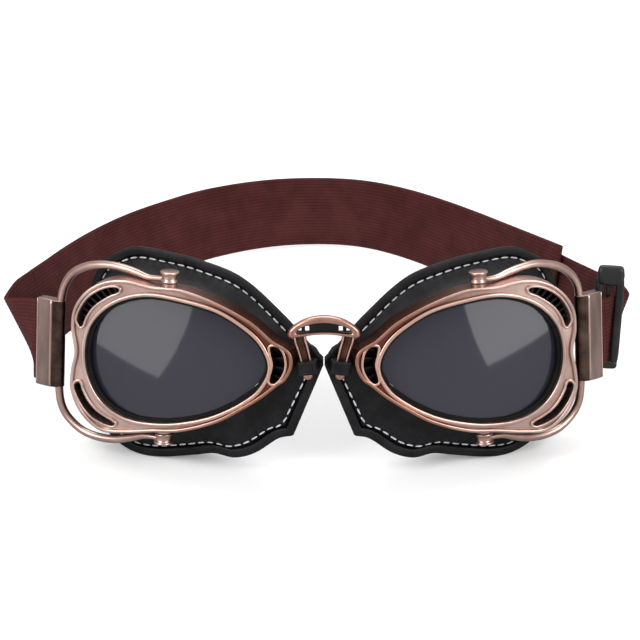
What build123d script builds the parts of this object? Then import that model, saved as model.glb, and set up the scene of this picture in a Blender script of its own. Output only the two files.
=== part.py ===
# Aviator flying goggles, standing on their leather cups with the strap lying behind them.
# Millimetres, +Z up, the lenses look along -Y. X = 0 is the plane between the two cups,
# and Z = 0 is the table. Each paired piece is drawn on the right side (+X) and mirrored.
import os
from math import cos, radians, sin, tan

from build123d import *

# Stance of the goggles on the table
lean = 14.0                 # degrees that the cups lean back
wrap = 14.0                 # degrees that each cup turns back towards the temple
nose_half_gap = 10.0        # from the middle plane to the nose end of a cup's axis
front_y = -103.4            # where the nose end of the cups stands along Y
flat_cut = 0.5              # depth of the flat that the cushions rest on

# Cast front frame
frame_width = 90.0
frame_height = 62.4
frame_depth = 8.0
rim_width = 0.95            # raised rim along every edge of the casting
channel_depth = 0.9         # sunken face between the rims
lug_radius = 3.0
lug_height = 0.5            # of the hinge lugs over the casting's edge

# Lens and its gasket
lens_radius = 260.0
lens_thickness = 1.6
lens_set_back = 2.2
gasket_width = 1.5
gasket_set_back = 1.9
seat_gap = 0.12             # between pieces that seat in each other

# Vent grilles behind the three crescents of each frame
grille_back = 1.2
grille_depth = 4.4
rib_width = 0.75
rib_reach = 12.0

# Black carrier behind the casting
shell_inset = 3.0
shell_depth = 5.2
shell_opening = 0.5

# Leather cup: sewn skirt, rolled edge and face cushion
pad_overhang = 10.0         # of the pad's width and height over the casting's
pad_rise = 23.4
pad_set_back = 9.6          # of the sewn edge behind the frame's front at the nose
pad_tilt = 7.0              # degrees that the sewn edge falls back towards the temple
middle_gap = 0.2            # from the middle plane to each cup's leather
soft_gap = 0.3              # between the leather and its neighbours
skirt_back = 1.4            # of the skirt's body behind the sewn edge
roll_width = 3.6
roll_front = 1.2            # of the rolled edge over the sewn line
roll_depth = 4.2
cushion_inset = 1.2
cushion_wall = 8.5
cushion_depth = 15.4
cushion_crown = 3.2
cushion_waist = 0.9         # drawn-in side under the rolled edge
waist_depth = 2.4

# Posts that carry the yokes
hinge_reach_share = 0.5944  # of frame_width, from the nose end to the hinge line
hinge_drop = 7.5            # of the hinge line's middle under the cup's axis
hinge_tilt = 3.5            # degrees that its lower end leans out
hinge_set_back = 4.2        # behind the frame's front
upper_foot_share = 0.4055   # of frame_height, from the cup's axis to each post's foot
lower_foot_share = 0.5753
post_length = 5.2
post_radius = 2.5
post_head_radius = 3.5
post_foot_radius = 3.0
post_flange = 1.0
pivot_radius = 1.3
pivot_length = 2.6
pivot_gap = 0.05
hinge_gap = 0.3             # between a post's foot and its lug

# Wire yokes
wire_radius = 1.2
wire_gap = 0.05
left_swing = 11.0           # degrees that each yoke rests behind its cup's plane
right_swing = 17.0
yoke_overhang = 12.0        # of the wire's straight run past frame_width
wire_entry = 2.6            # of the wire's ends over the posts' feet
shoulder_rise = 3.4         # of the wire's shoulders over its ends
shoulder_shares = (0.392, 0.784)    # of the way to the straight run
entry_run = 10.0
corner_drop = 9.5           # from a shoulder down to the straight run
wire_sides = 8              # flats round the drawn wire
wire_bend = 9.0
corner_bend = 11.0

# Strap plates
plate_width = 9.4
plate_overhang = 1.8        # of the plate's height over the strap's width
plate_leaf = 1.2
barrel_radius = 2.1
strap_fit = 0.15            # round the strap between the plate's leaves

# Nose bridge
bridge_set_back = 2.2
bridge_depth = 3.4
arch_half_width = 13.6
arch_foot = 8.0             # height of the arch's lower edge at its middle
arch_rise = 7.6
arch_shoulder = 9.2         # height of the arch's ends
arch_sag = 1.0              # of its lower edge towards the ends
arch_end_inset = 2.0
arch_end_round = 1.7
arch_top_wall = 3.0
arch_bottom_wall = 1.4
arch_end_wall = 3.4
arch_slot_inset = 0.5
arch_slot_shoulder = 1.0
insert_depth = 1.8
insert_set_back = 0.9
insert_slot = 1.5
insert_slot_height = 2.2
insert_slot_pitch = 2.9
insert_core = 5.6           # from the middle to the first slot

leg_top_x = 8.9
leg_foot_x = 6.1
leg_foot_y = -8.0
leg_top_width = 4.3
leg_width = 3.5
leg_depth = 2.0
leg_rim = 0.75
leg_channel = 0.5
leg_tip_radius = 1.95

# Leather keepers round the bridge's legs
keeper_width = 7.2
keeper_height = 5.2
keeper_drop = 4.8
keeper_half_depth = 2.7
keeper_hole_radius = 2.1
keeper_round = 0.8

# Elastic strap, its adjuster band and the slider
strap_width = 33.0
strap_thickness = 1.5
adjuster_width = 28.0
adjuster_drop = 3.0         # of the adjuster's middle line under the strap's
lap_gap = 0.3
strap_back = 204.0          # from the nose ends to the strap's middle line at the back
back_flare = 11.0           # degrees that the strap leans out there
fold_overhang = 33.5        # of the strap's folds past frame_width, from the middle plane
left_near_run = 4.0         # straight band past each plate, before its fold
right_near_run = 13.5
lap_length = 18.0
strap_entry = 2.6           # from the wire to the strap's end inside its plate
strap_steps = 48
adjuster_steps = 24
fold_bias = 1.5             # crowds a band's sections towards its fold

slider_width = 9.6
slider_overhang = 11.0      # of its height over the adjuster band's width
slider_end_height = 4.4
slider_end_depth = 5.0
slider_bar_width = 2.7
slider_bar_depth = 1.5
slider_rail_width = 2.1
slider_gap = 0.45
slider_round = 1.4
slider_place = 8.1          # of its middle past the plate's edge
slider_lean = 10.0          # degrees that its top leans out

# Outlines as shares of the width and height that they follow, from the nose outwards.
# Each row pairs a point of the casting's edge with the point of the pad's edge outside it.
edge_shares = [
    (0.036, 0.032, -0.089, -0.030), (0.106, 0.091, -0.018, 0.042),
    (0.199, 0.199, 0.080, 0.154), (0.354, 0.308, 0.253, 0.308),
    (0.510, 0.377, 0.420, 0.369), (0.640, 0.385, 0.570, 0.396),
    (0.750, 0.412, 0.700, 0.406), (0.842, 0.399, 0.790, 0.367),
    (0.928, 0.333, 0.860, 0.303), (0.990, 0.216, 0.905, 0.186),
    (1.005, 0.080, 0.920, 0.047), (0.994, -0.064, 0.922, -0.093),
    (1.013, -0.185, 0.920, -0.198), (1.020, -0.314, 0.915, -0.315),
    (0.974, -0.473, 0.885, -0.443), (0.889, -0.572, 0.820, -0.536),
    (0.781, -0.577, 0.725, -0.589), (0.660, -0.556, 0.620, -0.594),
    (0.524, -0.537, 0.455, -0.559), (0.362, -0.460, 0.380, -0.541),
    (0.244, -0.361, 0.293, -0.549), (0.155, -0.272, 0.205, -0.513),
    (0.086, -0.186, 0.103, -0.427), (0.055, -0.152, 0.045, -0.406),
]
nose_tip_share = (0.023, -0.052)

lens_shares = [
    (0.130, -0.048), (0.169, 0.069), (0.238, 0.157), (0.354, 0.249), (0.511, 0.301),
    (0.645, 0.321), (0.752, 0.293), (0.847, 0.222), (0.920, 0.101), (0.950, -0.064),
    (0.937, -0.237), (0.878, -0.385), (0.779, -0.474), (0.659, -0.498), (0.523, -0.479),
    (0.363, -0.409), (0.202, -0.266), (0.140, -0.144),
]

# Each vent: its outline, the centre that its ribs point at, their first and last
# directions in degrees, and their count. Outline and centre are shares of the frame.
vent_shares = {
    "upper": ([
        (0.966, 0.099), (0.979, 0.141), (0.964, 0.207), (0.933, 0.274), (0.893, 0.321),
        (0.841, 0.356), (0.799, 0.364), (0.782, 0.352), (0.793, 0.330), (0.821, 0.314),
        (0.869, 0.272), (0.909, 0.224), (0.940, 0.159), (0.955, 0.106),
    ], (0.689, -0.016), (18.0, 68.0), 10),
    "lower": ([
        (0.980, -0.262), (1.003, -0.284), (0.996, -0.341), (0.973, -0.410), (0.940, -0.470),
        (0.897, -0.510), (0.839, -0.537), (0.822, -0.520), (0.861, -0.486), (0.907, -0.444),
        (0.943, -0.385), (0.968, -0.312),
    ], (0.733, -0.160), (-68.0, -18.0), 9),
    "nose": ([
        (0.116, 0.056), (0.076, 0.043), (0.057, -0.034), (0.064, -0.103), (0.100, -0.175),
        (0.122, -0.168), (0.107, -0.063), (0.117, 0.016),
    ], (0.244, -0.056), (158.0, 204.0), 4),
}
vent_reach_share = {"upper": 0.28, "lower": 0.26, "nose": 0.16}

# Bands, from one end of each list to the other: shares of fold_reach across and of
# strap_back along, the share of the rise from the back to the plates, and the outward
# lean in degrees.
left_route_shares = [
    (0.965, 0.300, 0.970, 19.0), (0.940, 0.365, 0.890, 18.5), (0.855, 0.480, 0.760, 18.0),
    (0.665, 0.705, 0.530, 17.0), (0.455, 0.872, 0.230, 14.5), (0.225, 0.972, 0.040, 12.0),
]
right_route_shares = [
    (0.160, 0.980, 0.020, 11.5), (0.320, 0.915, 0.120, 13.0), (0.500, 0.800, 0.360, 15.5),
    (0.690, 0.640, 0.580, 17.5), (0.835, 0.500, 0.740, 18.0),
]
adjuster_route_shares = [
    (0.965, 0.320, 0.950, 19.0), (0.918, 0.405, 0.850, 18.5),
]
fold_share = 0.97           # nearness at which points of a moved outline fold over
handle_share = 1 / 3         # of a span, for the reach of its smooth curve
span_steps = 2              # points on each span of an outline
least_step = 0.35           # between two points of a moved outline
least_bulge = 0.004         # under which a span is drawn straight
pad_steps = 28
corner_clear = 1.5          # between a pad's corner and its next point
crown_shares = [(0, 0), (0.5, 0.12), (0.88, 0.5), (1, 1)]
loop_middle_share = 0.45    # of strap_back, where the loop's outward directions meet

pad_width = frame_width + pad_overhang
pad_height = frame_height + pad_rise
hinge_reach = frame_width * hinge_reach_share
upper_foot = frame_height * upper_foot_share + hinge_drop
lower_foot = frame_height * lower_foot_share - hinge_drop
yoke_reach = frame_width + yoke_overhang - hinge_reach
shoulder_near, shoulder_far = [yoke_reach * share for share in shoulder_shares]
plate_height = strap_width + plate_overhang
fold_reach = frame_width + fold_overhang
slider_height = adjuster_width + slider_overhang

os.makedirs("parts", exist_ok=True)


def cup_depth(across):
    """How far the pad's edge lies behind the casting's front, at a distance across."""
    return pad_set_back + across * tan(radians(pad_tilt))


def stance(across, up, back):
    """Height over the nose end of a point of a cup, once wrapped and leaned."""
    behind = across * sin(radians(wrap)) + back * cos(radians(wrap))
    return up * cos(radians(lean)) - behind * sin(radians(lean))


pad_points = [(pad_width * row[2], pad_height * row[3]) for row in edge_shares]
roll_behind = roll_depth - roll_front
lowest = min(stance(u, v, cup_depth(u) + roll_behind) for u, v in pad_points)
nose_height = -lowest - flat_cut

def turned(plane, direction, angle):
    """The plane turned by degrees about its own origin, round a direction."""
    axis = Axis((0, 0, 0), direction)
    return Plane(plane.origin, plane.x_dir.rotate(axis, angle),
                 plane.z_dir.rotate(axis, angle))


face_plane = Plane((0, front_y, nose_height), (1, 0, 0),
                   (0, -cos(radians(lean)), sin(radians(lean))))
nose_plane = Plane(face_plane.from_local_coords((nose_half_gap, 0, 0)),
                   face_plane.x_dir, face_plane.z_dir)
cup_plane = turned(nose_plane, nose_plane.y_dir, wrap)
pad_plane = turned(cup_plane.offset(-pad_set_back), cup_plane.y_dir, pad_tilt)
hinge_middle = cup_plane.from_local_coords((hinge_reach, -hinge_drop, -hinge_set_back))
hinge_plane = turned(Plane(hinge_middle, cup_plane.x_dir, cup_plane.z_dir),
                     cup_plane.z_dir, hinge_tilt)
table_plane = Plane.XY
middle_plane = Plane.YZ.offset(middle_gap)
straight_back = Vector(0, 1, 0)


def scaled(shares, width, height):
    return [(width * u, height * v) for u, v in shares]


def smooth_samples(points):
    """Points and directions along short cubic curves that join the points smoothly."""
    places = [Vector(*point) for point in points]
    tangents = [(after - before).normalized()
                for before, after in zip(places[-1:] + places[:-1], places[1:] + places[:1])]
    samples = []
    directions = []
    for k, start in enumerate(places):
        after = (k + 1) % len(places)
        end = places[after]
        handle = (end - start).length * handle_share
        curve = Bezier(start, start + tangents[k] * handle,
                       end - tangents[after] * handle, end)
        for step in range(span_steps):
            samples.append(curve @ (step / span_steps))
            directions.append(curve % (step / span_steps))
    return samples, directions


def moved_samples(points, amount):
    """Points of a closed outline moved outwards, leaving out those that would fold over."""
    samples, directions = smooth_samples(points)
    area = sum(here.X * after.Y - after.X * here.Y
               for here, after in zip(samples, samples[1:] + samples[:1]))
    turn = 1 if area > 0 else -1
    moved = [Vector(point.X + turn * amount * along.Y, point.Y - turn * amount * along.X)
             for point, along in zip(samples, directions)]
    kept = []
    for place in moved:
        near = min((place - point).length for point in samples)
        if near > abs(amount) * fold_share and (
                not kept or (place - kept[-1]).length > least_step):
            kept.append(place)
    return kept


def arc_face(samples):
    """The face inside arcs that run through every second point by way of the others."""
    count = len(samples)
    with BuildSketch() as outline:
        with BuildLine():
            for k in range(0, count, 2):
                start, middle, end = [samples[(k + step) % count] for step in range(3)]
                run = end - start
                bulge = abs(run.X * (middle - start).Y - run.Y * (middle - start).X)
                if k + 1 == count:
                    Line(start, middle)
                elif bulge < least_bulge * run.length:
                    Line(start, end)
                else:
                    ThreePointArc(start, middle, end)
        make_face()
    return outline.sketch


def chord_face(samples):
    """The face inside straight lines from point to point."""
    with BuildSketch() as outline:
        with BuildLine():
            Polyline(*samples, close=True)
        make_face()
    return outline.sketch


def even_points(line):
    return [line @ (step / pad_steps) for step in range(pad_steps + 1)]


def pad_line(amount):
    """Points of the pad's outline moved inwards, from its nose edge's top to its foot."""
    line = Spline(*pad_points)
    if amount == 0:
        return even_points(line)
    top = Vector(*pad_points[0])
    along = (Vector(*pad_points[-1]) - top).normalized()
    inside = Vector(-along.Y, along.X)
    if (Vector(*pad_points[len(pad_points) // 2]) - top).dot(inside) < 0:
        inside = inside * -1
    samples = even_points(line)
    directions = [line % (step / pad_steps) for step in range(pad_steps + 1)]
    centre = sum(samples, Vector()) * (1 / len(samples))
    kept = []
    for point, direction in zip(samples, directions):
        normal = Vector(-direction.Y, direction.X)
        if (centre - point).dot(normal) < 0:
            normal = normal * -1
        kept.append(point + normal * amount)
    depth = [(point - top).dot(inside) - amount for point in kept]
    first = next(k for k, value in enumerate(depth) if value > 0)
    last = len(depth) - 1 - next(k for k, value in enumerate(depth[::-1]) if value > 0)
    corners = []
    for near, far in ((first - 1, first), (last + 1, last)):
        share = depth[near] / (depth[near] - depth[far])
        corners.append(kept[near] + (kept[far] - kept[near]) * share)
    run = [point for point in kept[first:last + 1]
           if min((point - sample).length for sample in samples) > amount * fold_share
           and (point - corners[0]).length > corner_clear
           and (point - corners[1]).length > corner_clear]
    return even_points(Spline(corners[0], *run, corners[1]))


def pad_shrunk(amount):
    """The pad's face moved inwards, with its straight nose edge and two corners."""
    return chord_face(pad_line(amount))


def placed(plane, points):
    return [plane.from_local_coords(point) for point in points]


def faceted(rings):
    """Solid through flat closed lines with one number of points, in three-sided facets."""
    faces = [Face(Wire.make_polygon(ring)) for ring in (rings[0], rings[-1])]
    for near, far in zip(rings, rings[1:]):
        for k, corner in enumerate(near):
            after = (k + 1) % len(near)
            faces.append(Face(Wire.make_polygon([corner, far[k], far[after]])))
            faces.append(Face(Wire.make_polygon([corner, far[after], near[after]])))
    return Solid(Shell(faces))


def grown(face, amount):
    """A face with straight or arc edges, moved outwards all round by an amount."""
    with BuildSketch() as outline:
        add(face)
        offset(amount=amount, kind=Kind.INTERSECTION)
    return outline.sketch


edge_points = [(frame_width * row[0], frame_height * row[1]) for row in edge_shares]
nose_tip = (frame_width * nose_tip_share[0], frame_height * nose_tip_share[1])
frame_points = edge_points + [nose_tip]
lens_points = scaled(lens_shares, frame_width, frame_height)
vent_points = {
    name: scaled(shares, frame_width, frame_height)
    for name, (shares, centre, turn, count) in vent_shares.items()
}


def make_front_frame():
    """Casting with the lens opening, three crescent vents and a rim along every edge."""
    edge_face = arc_face(smooth_samples(frame_points)[0])
    inner_face = chord_face(moved_samples(frame_points, -rim_width))
    openings = (lens_points, *vent_points.values())
    opening_faces = [chord_face(smooth_samples(opening)[0]) for opening in openings]
    rim_faces = [chord_face(moved_samples(opening, rim_width)) for opening in openings]
    with BuildPart() as frame:
        with BuildSketch(cup_plane.offset(-frame_depth)):
            add(edge_face)
            for face in opening_faces:
                add(face, mode=Mode.SUBTRACT)
        extrude(amount=frame_depth - channel_depth)
        with BuildSketch(cup_plane.offset(-channel_depth)):
            add(edge_face)
            add(inner_face, mode=Mode.SUBTRACT)
            for face in rim_faces:
                add(face)
            for face in opening_faces:
                add(face, mode=Mode.SUBTRACT)
        extrude(amount=channel_depth)
        for foot, up in ((upper_foot, 1), (-lower_foot, -1)):
            lug_plane = Plane(hinge_plane.from_local_coords((0, foot - up * hinge_gap, 0)),
                              hinge_plane.x_dir, hinge_plane.y_dir * -up)
            with BuildSketch(lug_plane):
                Circle(lug_radius)
            extrude(amount=lug_height + lug_radius)
            with BuildSketch(lug_plane):
                Circle(pivot_radius + pivot_gap)
            extrude(amount=pivot_length, mode=Mode.SUBTRACT)
    return frame.part


def make_lens():
    """Lens bent round the face, cut to the opening inside its gasket."""
    across = [u for u, v in lens_points]
    middle = (min(across) + max(across)) / 2
    centre = cup_plane.from_local_coords((middle, 0, -lens_set_back - lens_radius))
    section = Plane(centre, cup_plane.x_dir, cup_plane.y_dir)
    outline = chord_face(moved_samples(lens_points, -gasket_width - seat_gap))
    with BuildPart() as lens:
        with BuildSketch(cup_plane.offset(-frame_depth - shell_depth)):
            add(outline)
        extrude(amount=frame_depth + shell_depth)
        with BuildSketch(section):
            Circle(lens_radius)
            Circle(lens_radius - lens_thickness, mode=Mode.SUBTRACT)
        extrude(amount=frame_height, both=True, mode=Mode.INTERSECT)
    return lens.part


def make_gasket():
    outer = chord_face(moved_samples(lens_points, -seat_gap))
    inner = chord_face(moved_samples(lens_points, -gasket_width))
    with BuildPart() as gasket:
        with BuildSketch(cup_plane.offset(-frame_depth)):
            add(outer)
            add(inner, mode=Mode.SUBTRACT)
        extrude(amount=frame_depth - gasket_set_back)
    return gasket.part


def make_vent_grille(name):
    """Comb of ribs on a thin back, inside one crescent."""
    shares, centre_share, (first, last), count = vent_shares[name]
    inner = chord_face(moved_samples(vent_points[name], -seat_gap))
    centre = (frame_width * centre_share[0], frame_height * centre_share[1])
    reach = frame_width * vent_reach_share[name]
    with BuildPart() as grille:
        with BuildSketch(cup_plane.offset(-frame_depth)):
            add(inner)
        extrude(amount=grille_back)
        with BuildSketch(cup_plane.offset(grille_back - frame_depth)):
            with Locations(centre):
                with PolarLocations(reach, count, first, last - first,
                                    endpoint=True):
                    Rectangle(rib_reach, rib_width)
            add(inner, mode=Mode.INTERSECT)
        extrude(amount=grille_depth - grille_back)
    return grille.part


def make_eyecup_shell():
    """Black carrier ring that backs the casting and holds the gasket."""
    outer = chord_face(moved_samples(frame_points, -shell_inset))
    inner = chord_face(moved_samples(lens_points, shell_opening - gasket_width))
    with BuildPart() as shell:
        with BuildSketch(cup_plane.offset(-frame_depth - shell_depth)):
            add(outer)
            add(inner, mode=Mode.SUBTRACT)
        extrude(amount=shell_depth)
    return shell.part


def make_leather_skirt():
    """Leather panel that runs from the casting out and back to the sewn line."""
    sewn = pad_line(roll_width)
    rings = [placed(cup_plane.offset(-frame_depth - soft_gap),
                    even_points(Spline(*edge_points))),
             placed(pad_plane, sewn), placed(pad_plane.offset(-skirt_back), sewn)]
    room_samples = moved_samples(frame_points, soft_gap - shell_inset)
    eye_line = pad_line(cushion_inset + cushion_wall)
    hollow = [placed(cup_plane.offset(-frame_depth), even_points(Spline(*room_samples))),
              placed(pad_plane, eye_line), placed(pad_plane.offset(-frame_depth), eye_line)]
    with BuildPart() as skirt:
        add(faceted(rings))
        add(faceted(hollow), mode=Mode.SUBTRACT)
        with BuildSketch(cup_plane.offset(-frame_depth)):
            add(chord_face(room_samples))
        extrude(amount=-shell_depth - soft_gap, mode=Mode.SUBTRACT)
    return skirt.part


def make_rolled_edge():
    """Thick turned edge outside the stitching."""
    outer = pad_shrunk(0)
    inner = pad_shrunk(roll_width - soft_gap)
    with BuildPart() as roll:
        with BuildSketch(pad_plane.offset(roll_front - roll_depth)):
            add(outer)
            add(inner, mode=Mode.SUBTRACT)
        extrude(amount=roll_depth)
        split(bisect_by=table_plane, keep=Keep.TOP)
        split(bisect_by=middle_plane, keep=Keep.TOP)
    return roll.part


def cushion_rings(rows):
    """Lines of the pad moved inwards and straight back, from (depth, inset) rows."""
    seat = pad_plane.offset(roll_front - roll_depth - soft_gap)
    return [placed(Plane(seat.origin + straight_back * depth, seat.x_dir, seat.z_dir),
                   pad_line(inset)) for depth, inset in rows]


def make_face_cushion():
    """Crowned foam ring that lies against the face, drawn in under the rolled edge."""
    wall = cushion_inset + cushion_wall
    crown = [(cushion_depth - cushion_crown * (1 - rise), cushion_crown * fall)
             for rise, fall in crown_shares]
    outer = cushion_rings(
        [(0, cushion_inset + cushion_waist), (waist_depth, cushion_inset)]
        + [(depth, cushion_inset + fall) for depth, fall in crown])
    inner = cushion_rings(
        [(-waist_depth, wall)] + [(depth, wall - fall) for depth, fall in crown]
        + [(cushion_depth + waist_depth, wall - cushion_crown)])
    with BuildPart() as cushion:
        add(faceted(outer))
        add(faceted(inner), mode=Mode.SUBTRACT)
        split(bisect_by=table_plane, keep=Keep.TOP)
        split(bisect_by=middle_plane, keep=Keep.TOP)
    return cushion.part


def make_post(plane, foot, up):
    """Spool-shaped post on the hinge line, with the pin that turns in its lug."""
    base = Plane(plane.from_local_coords((0, foot, 0)), plane.x_dir, plane.y_dir * up)
    with BuildPart() as post:
        for start, end, radius in (
                (hinge_gap - pivot_length, 0, pivot_radius),
                (0, post_flange, post_foot_radius),
                (post_flange, post_length - post_flange, post_radius),
                (post_length - post_flange, post_length, post_head_radius)):
            with BuildSketch(base.offset(start)):
                Circle(radius)
            extrude(amount=end - start)
    return post.part


def make_yoke_wire(plane):
    """Round wire bent into a C from the upper post to the lower one."""
    high = upper_foot + wire_entry
    low = -lower_foot - wire_entry
    with BuildPart() as wire:
        with BuildLine(plane) as path:
            FilletPolyline(
                (post_radius + wire_gap, high), (entry_run, high),
                (shoulder_near, high + shoulder_rise), (shoulder_far, high + shoulder_rise),
                (yoke_reach, high + shoulder_rise - corner_drop),
                (yoke_reach, low - shoulder_rise + corner_drop),
                (shoulder_far, low - shoulder_rise), (shoulder_near, low - shoulder_rise),
                (entry_run, low), (post_radius + wire_gap, low),
                radius=[wire_bend, wire_bend, corner_bend, corner_bend,
                        corner_bend, corner_bend, wire_bend, wire_bend])
        start = Plane(path.line @ 0, plane.z_dir, path.line % 0)
        with BuildSketch(start):
            RegularPolygon(wire_radius, wire_sides)
        sweep(path=path.line)
    return wire.part


def plate_middle(plane):
    """The middle of the plate's height on the straight run of the wire."""
    middle = (upper_foot - lower_foot) / 2
    return Plane(plane.from_local_coords((yoke_reach, middle, 0)), plane.x_dir, plane.z_dir)


def make_strap_plate(plane):
    """Sheet folded round the wire, with two leaves that clamp the strap's end."""
    middle = plate_middle(plane)
    section = Plane(middle.from_local_coords((0, -plate_height / 2, 0)),
                    plane.x_dir, plane.y_dir)
    slot = strap_thickness + strap_fit * 2
    with BuildPart() as plate:
        with BuildSketch(section):
            with Locations((plate_width / 2, 0)):
                Rectangle(plate_width, slot + plate_leaf * 2)
            Circle(barrel_radius)
            Circle(wire_radius + wire_gap, mode=Mode.SUBTRACT)
            with Locations((barrel_radius + plate_width, 0)):
                Rectangle(plate_width * 2, slot, mode=Mode.SUBTRACT)
        extrude(amount=plate_height)
    return plate.part


def arc_band_face(half, shoulder, top, bottom, sag, inset, rounding):
    """A crescent between two arcs, with its ends rounded where a radius is given."""
    with BuildSketch() as crescent:
        with BuildLine():
            ThreePointArc((-half, shoulder), (0, top), (half, shoulder))
            Line((half, shoulder), (half - inset, bottom - sag))
            ThreePointArc((half - inset, bottom - sag), (0, bottom),
                          (inset - half, bottom - sag))
            Line((inset - half, bottom - sag), (-half, shoulder))
        make_face()
        if rounding > 0:
            fillet(crescent.vertices(), radius=rounding)
    return crescent.sketch


arch_face = arc_band_face(arch_half_width, arch_shoulder, arch_foot + arch_rise, arch_foot,
                          arch_sag, arch_end_inset, arch_end_round)
slot_half = arch_half_width - arch_end_wall
slot_face = arc_band_face(slot_half, arch_foot + arch_bottom_wall + arch_slot_shoulder,
                          arch_foot + arch_rise - arch_top_wall,
                          arch_foot + arch_bottom_wall, arch_sag / 2, arch_slot_inset, 0)


def make_nose_bridge():
    """Arched bridge with two channelled legs that end in rounded tips."""
    front = face_plane.offset(-bridge_set_back)
    leg_front = front.offset((leg_depth - bridge_depth) / 2)
    with BuildPart() as bridge:
        with BuildSketch(front):
            add(arch_face)
            add(slot_face, mode=Mode.SUBTRACT)
        extrude(amount=-bridge_depth)
        for side in (-1, 1):
            with BuildSketch(leg_front):
                with BuildLine():
                    Polyline(
                        (side * (leg_top_x - leg_top_width / 2), arch_foot),
                        (side * (leg_top_x + leg_top_width / 2), arch_foot),
                        (side * (leg_foot_x + leg_width / 2), leg_foot_y),
                        (side * (leg_foot_x - leg_width / 2), leg_foot_y), close=True)
                make_face()
                with Locations((side * leg_foot_x, leg_foot_y)):
                    Circle(leg_tip_radius)
            extrude(amount=-leg_depth)
            with BuildSketch(leg_front):
                with BuildLine():
                    Polyline(
                        (side * (leg_top_x - leg_top_width / 2 + leg_rim), arch_foot - arch_sag),
                        (side * (leg_top_x + leg_top_width / 2 - leg_rim), arch_foot - arch_sag),
                        (side * (leg_foot_x + leg_width / 2 - leg_rim), leg_foot_y),
                        (side * (leg_foot_x - leg_width / 2 + leg_rim), leg_foot_y), close=True)
                make_face()
            extrude(amount=-leg_channel, mode=Mode.SUBTRACT)
    return bridge.part


def make_bridge_grille():
    """Slotted black insert inside the arch."""
    front = face_plane.offset(-bridge_set_back - insert_set_back)
    slots = [side * (insert_core + insert_slot / 2 + step * insert_slot_pitch)
             for side in (-1, 1) for step in range(2)]
    with BuildPart() as insert:
        with BuildSketch(front):
            add(grown(slot_face, -seat_gap))
            with Locations(*[(x, arch_foot + arch_bottom_wall + insert_slot_height / 2)
                             for x in slots]):
                Rectangle(insert_slot, insert_slot_height, mode=Mode.SUBTRACT)
        extrude(amount=-insert_depth)
    return insert.part


def leg_line():
    """Middle of the right leg where its keeper sits, and its direction upwards."""
    run = Vector(leg_top_x - leg_foot_x, arch_foot - leg_foot_y)
    share = (-keeper_drop - leg_foot_y) / run.Y
    middle_depth = -bridge_set_back - bridge_depth / 2
    point = face_plane.from_local_coords((leg_foot_x + run.X * share, -keeper_drop,
                                          middle_depth))
    up = (face_plane.x_dir * run.X + face_plane.y_dir * run.Y).normalized()
    return point, up


def make_bridge_keeper():
    """Leather loop sewn to the cup, in which the bridge's leg can turn."""
    point, up = leg_line()
    across = (cup_plane.x_dir - up * cup_plane.x_dir.dot(up)).normalized()
    section = Plane(point - up * (keeper_height / 2), across, up)
    with BuildPart() as keeper:
        with BuildSketch(section):
            RectangleRounded(keeper_width, keeper_half_depth * 2, keeper_round)
            Circle(keeper_hole_radius, mode=Mode.SUBTRACT)
        extrude(amount=keeper_height)
    return keeper.part


def band_section(middle, along, ruling):
    """Section plane of a band: x through its thickness, y along its width."""
    across = (ruling - along * ruling.dot(along)).normalized()
    return Plane(middle, across.cross(along), along)


def route_rows(shares, side, plate_height_over_table):
    """Middle points of a band with the direction of its width, from a table of shares."""
    loop_middle = Vector(0, front_y + strap_back * loop_middle_share, 0)
    back_height = (strap_width / 2 * cos(radians(back_flare))
                   + strap_thickness / 2 * sin(radians(back_flare)))
    rows = []
    for x, y, rise, flare in shares:
        height = back_height + (plate_height_over_table - back_height) * rise
        point = Vector(side * fold_reach * x, front_y + strap_back * y, height)
        out = point - loop_middle
        out.Z = 0
        ruling = out.normalized() * sin(radians(flare)) + Vector(0, 0, cos(radians(flare)))
        rows.append((point, ruling))
    return rows


def near_rows(plane, side, run):
    """Both ends of the straight run from inside a plate to the start of the band's fold."""
    middle = plate_middle(plane)
    rows = []
    for along in (strap_entry, plate_width + run):
        point = middle.from_local_coords((along, 0, 0))
        rows.append((Vector(side * point.X, point.Y, point.Z),
                     Vector(side * plane.y_dir.X, plane.y_dir.Y, plane.y_dir.Z)))
    return rows


def route_line(near, rows):
    """Spline that leaves the straight run without a bend and passes through the rows."""
    points = [near[-1][0]] + [point for point, ruling in rows]
    ends = [points[0] - near[0][0], points[-1] - points[-2]]
    return Spline(*points, tangents=[end.normalized() for end in ends])


def band_sections(near, rows, steps):
    """Section planes along the straight run and the line through the rows."""
    line = route_line(near, rows)
    path = [near[-1]] + rows
    marks = [line.param_at_point(point) for point, ruling in path]
    start = line % 0
    sections = [band_section(near[0][0], start, near[0][1])]
    for step in range(steps + 1):
        place = (step / steps) ** fold_bias
        k = sum(mark <= place for mark in marks[1:-1])
        share = (place - marks[k]) / (marks[k + 1] - marks[k])
        ruling = path[k][1] * (1 - share) + path[k + 1][1] * share
        sections.append(band_section(line @ place, line % place, ruling))
    return sections


def make_band(sections, width):
    half = strap_thickness / 2
    corners = [(-half, -width / 2), (half, -width / 2), (half, width / 2), (-half, width / 2)]
    return Part(faceted([placed(section, corners) for section in sections]).wrapped)


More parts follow.
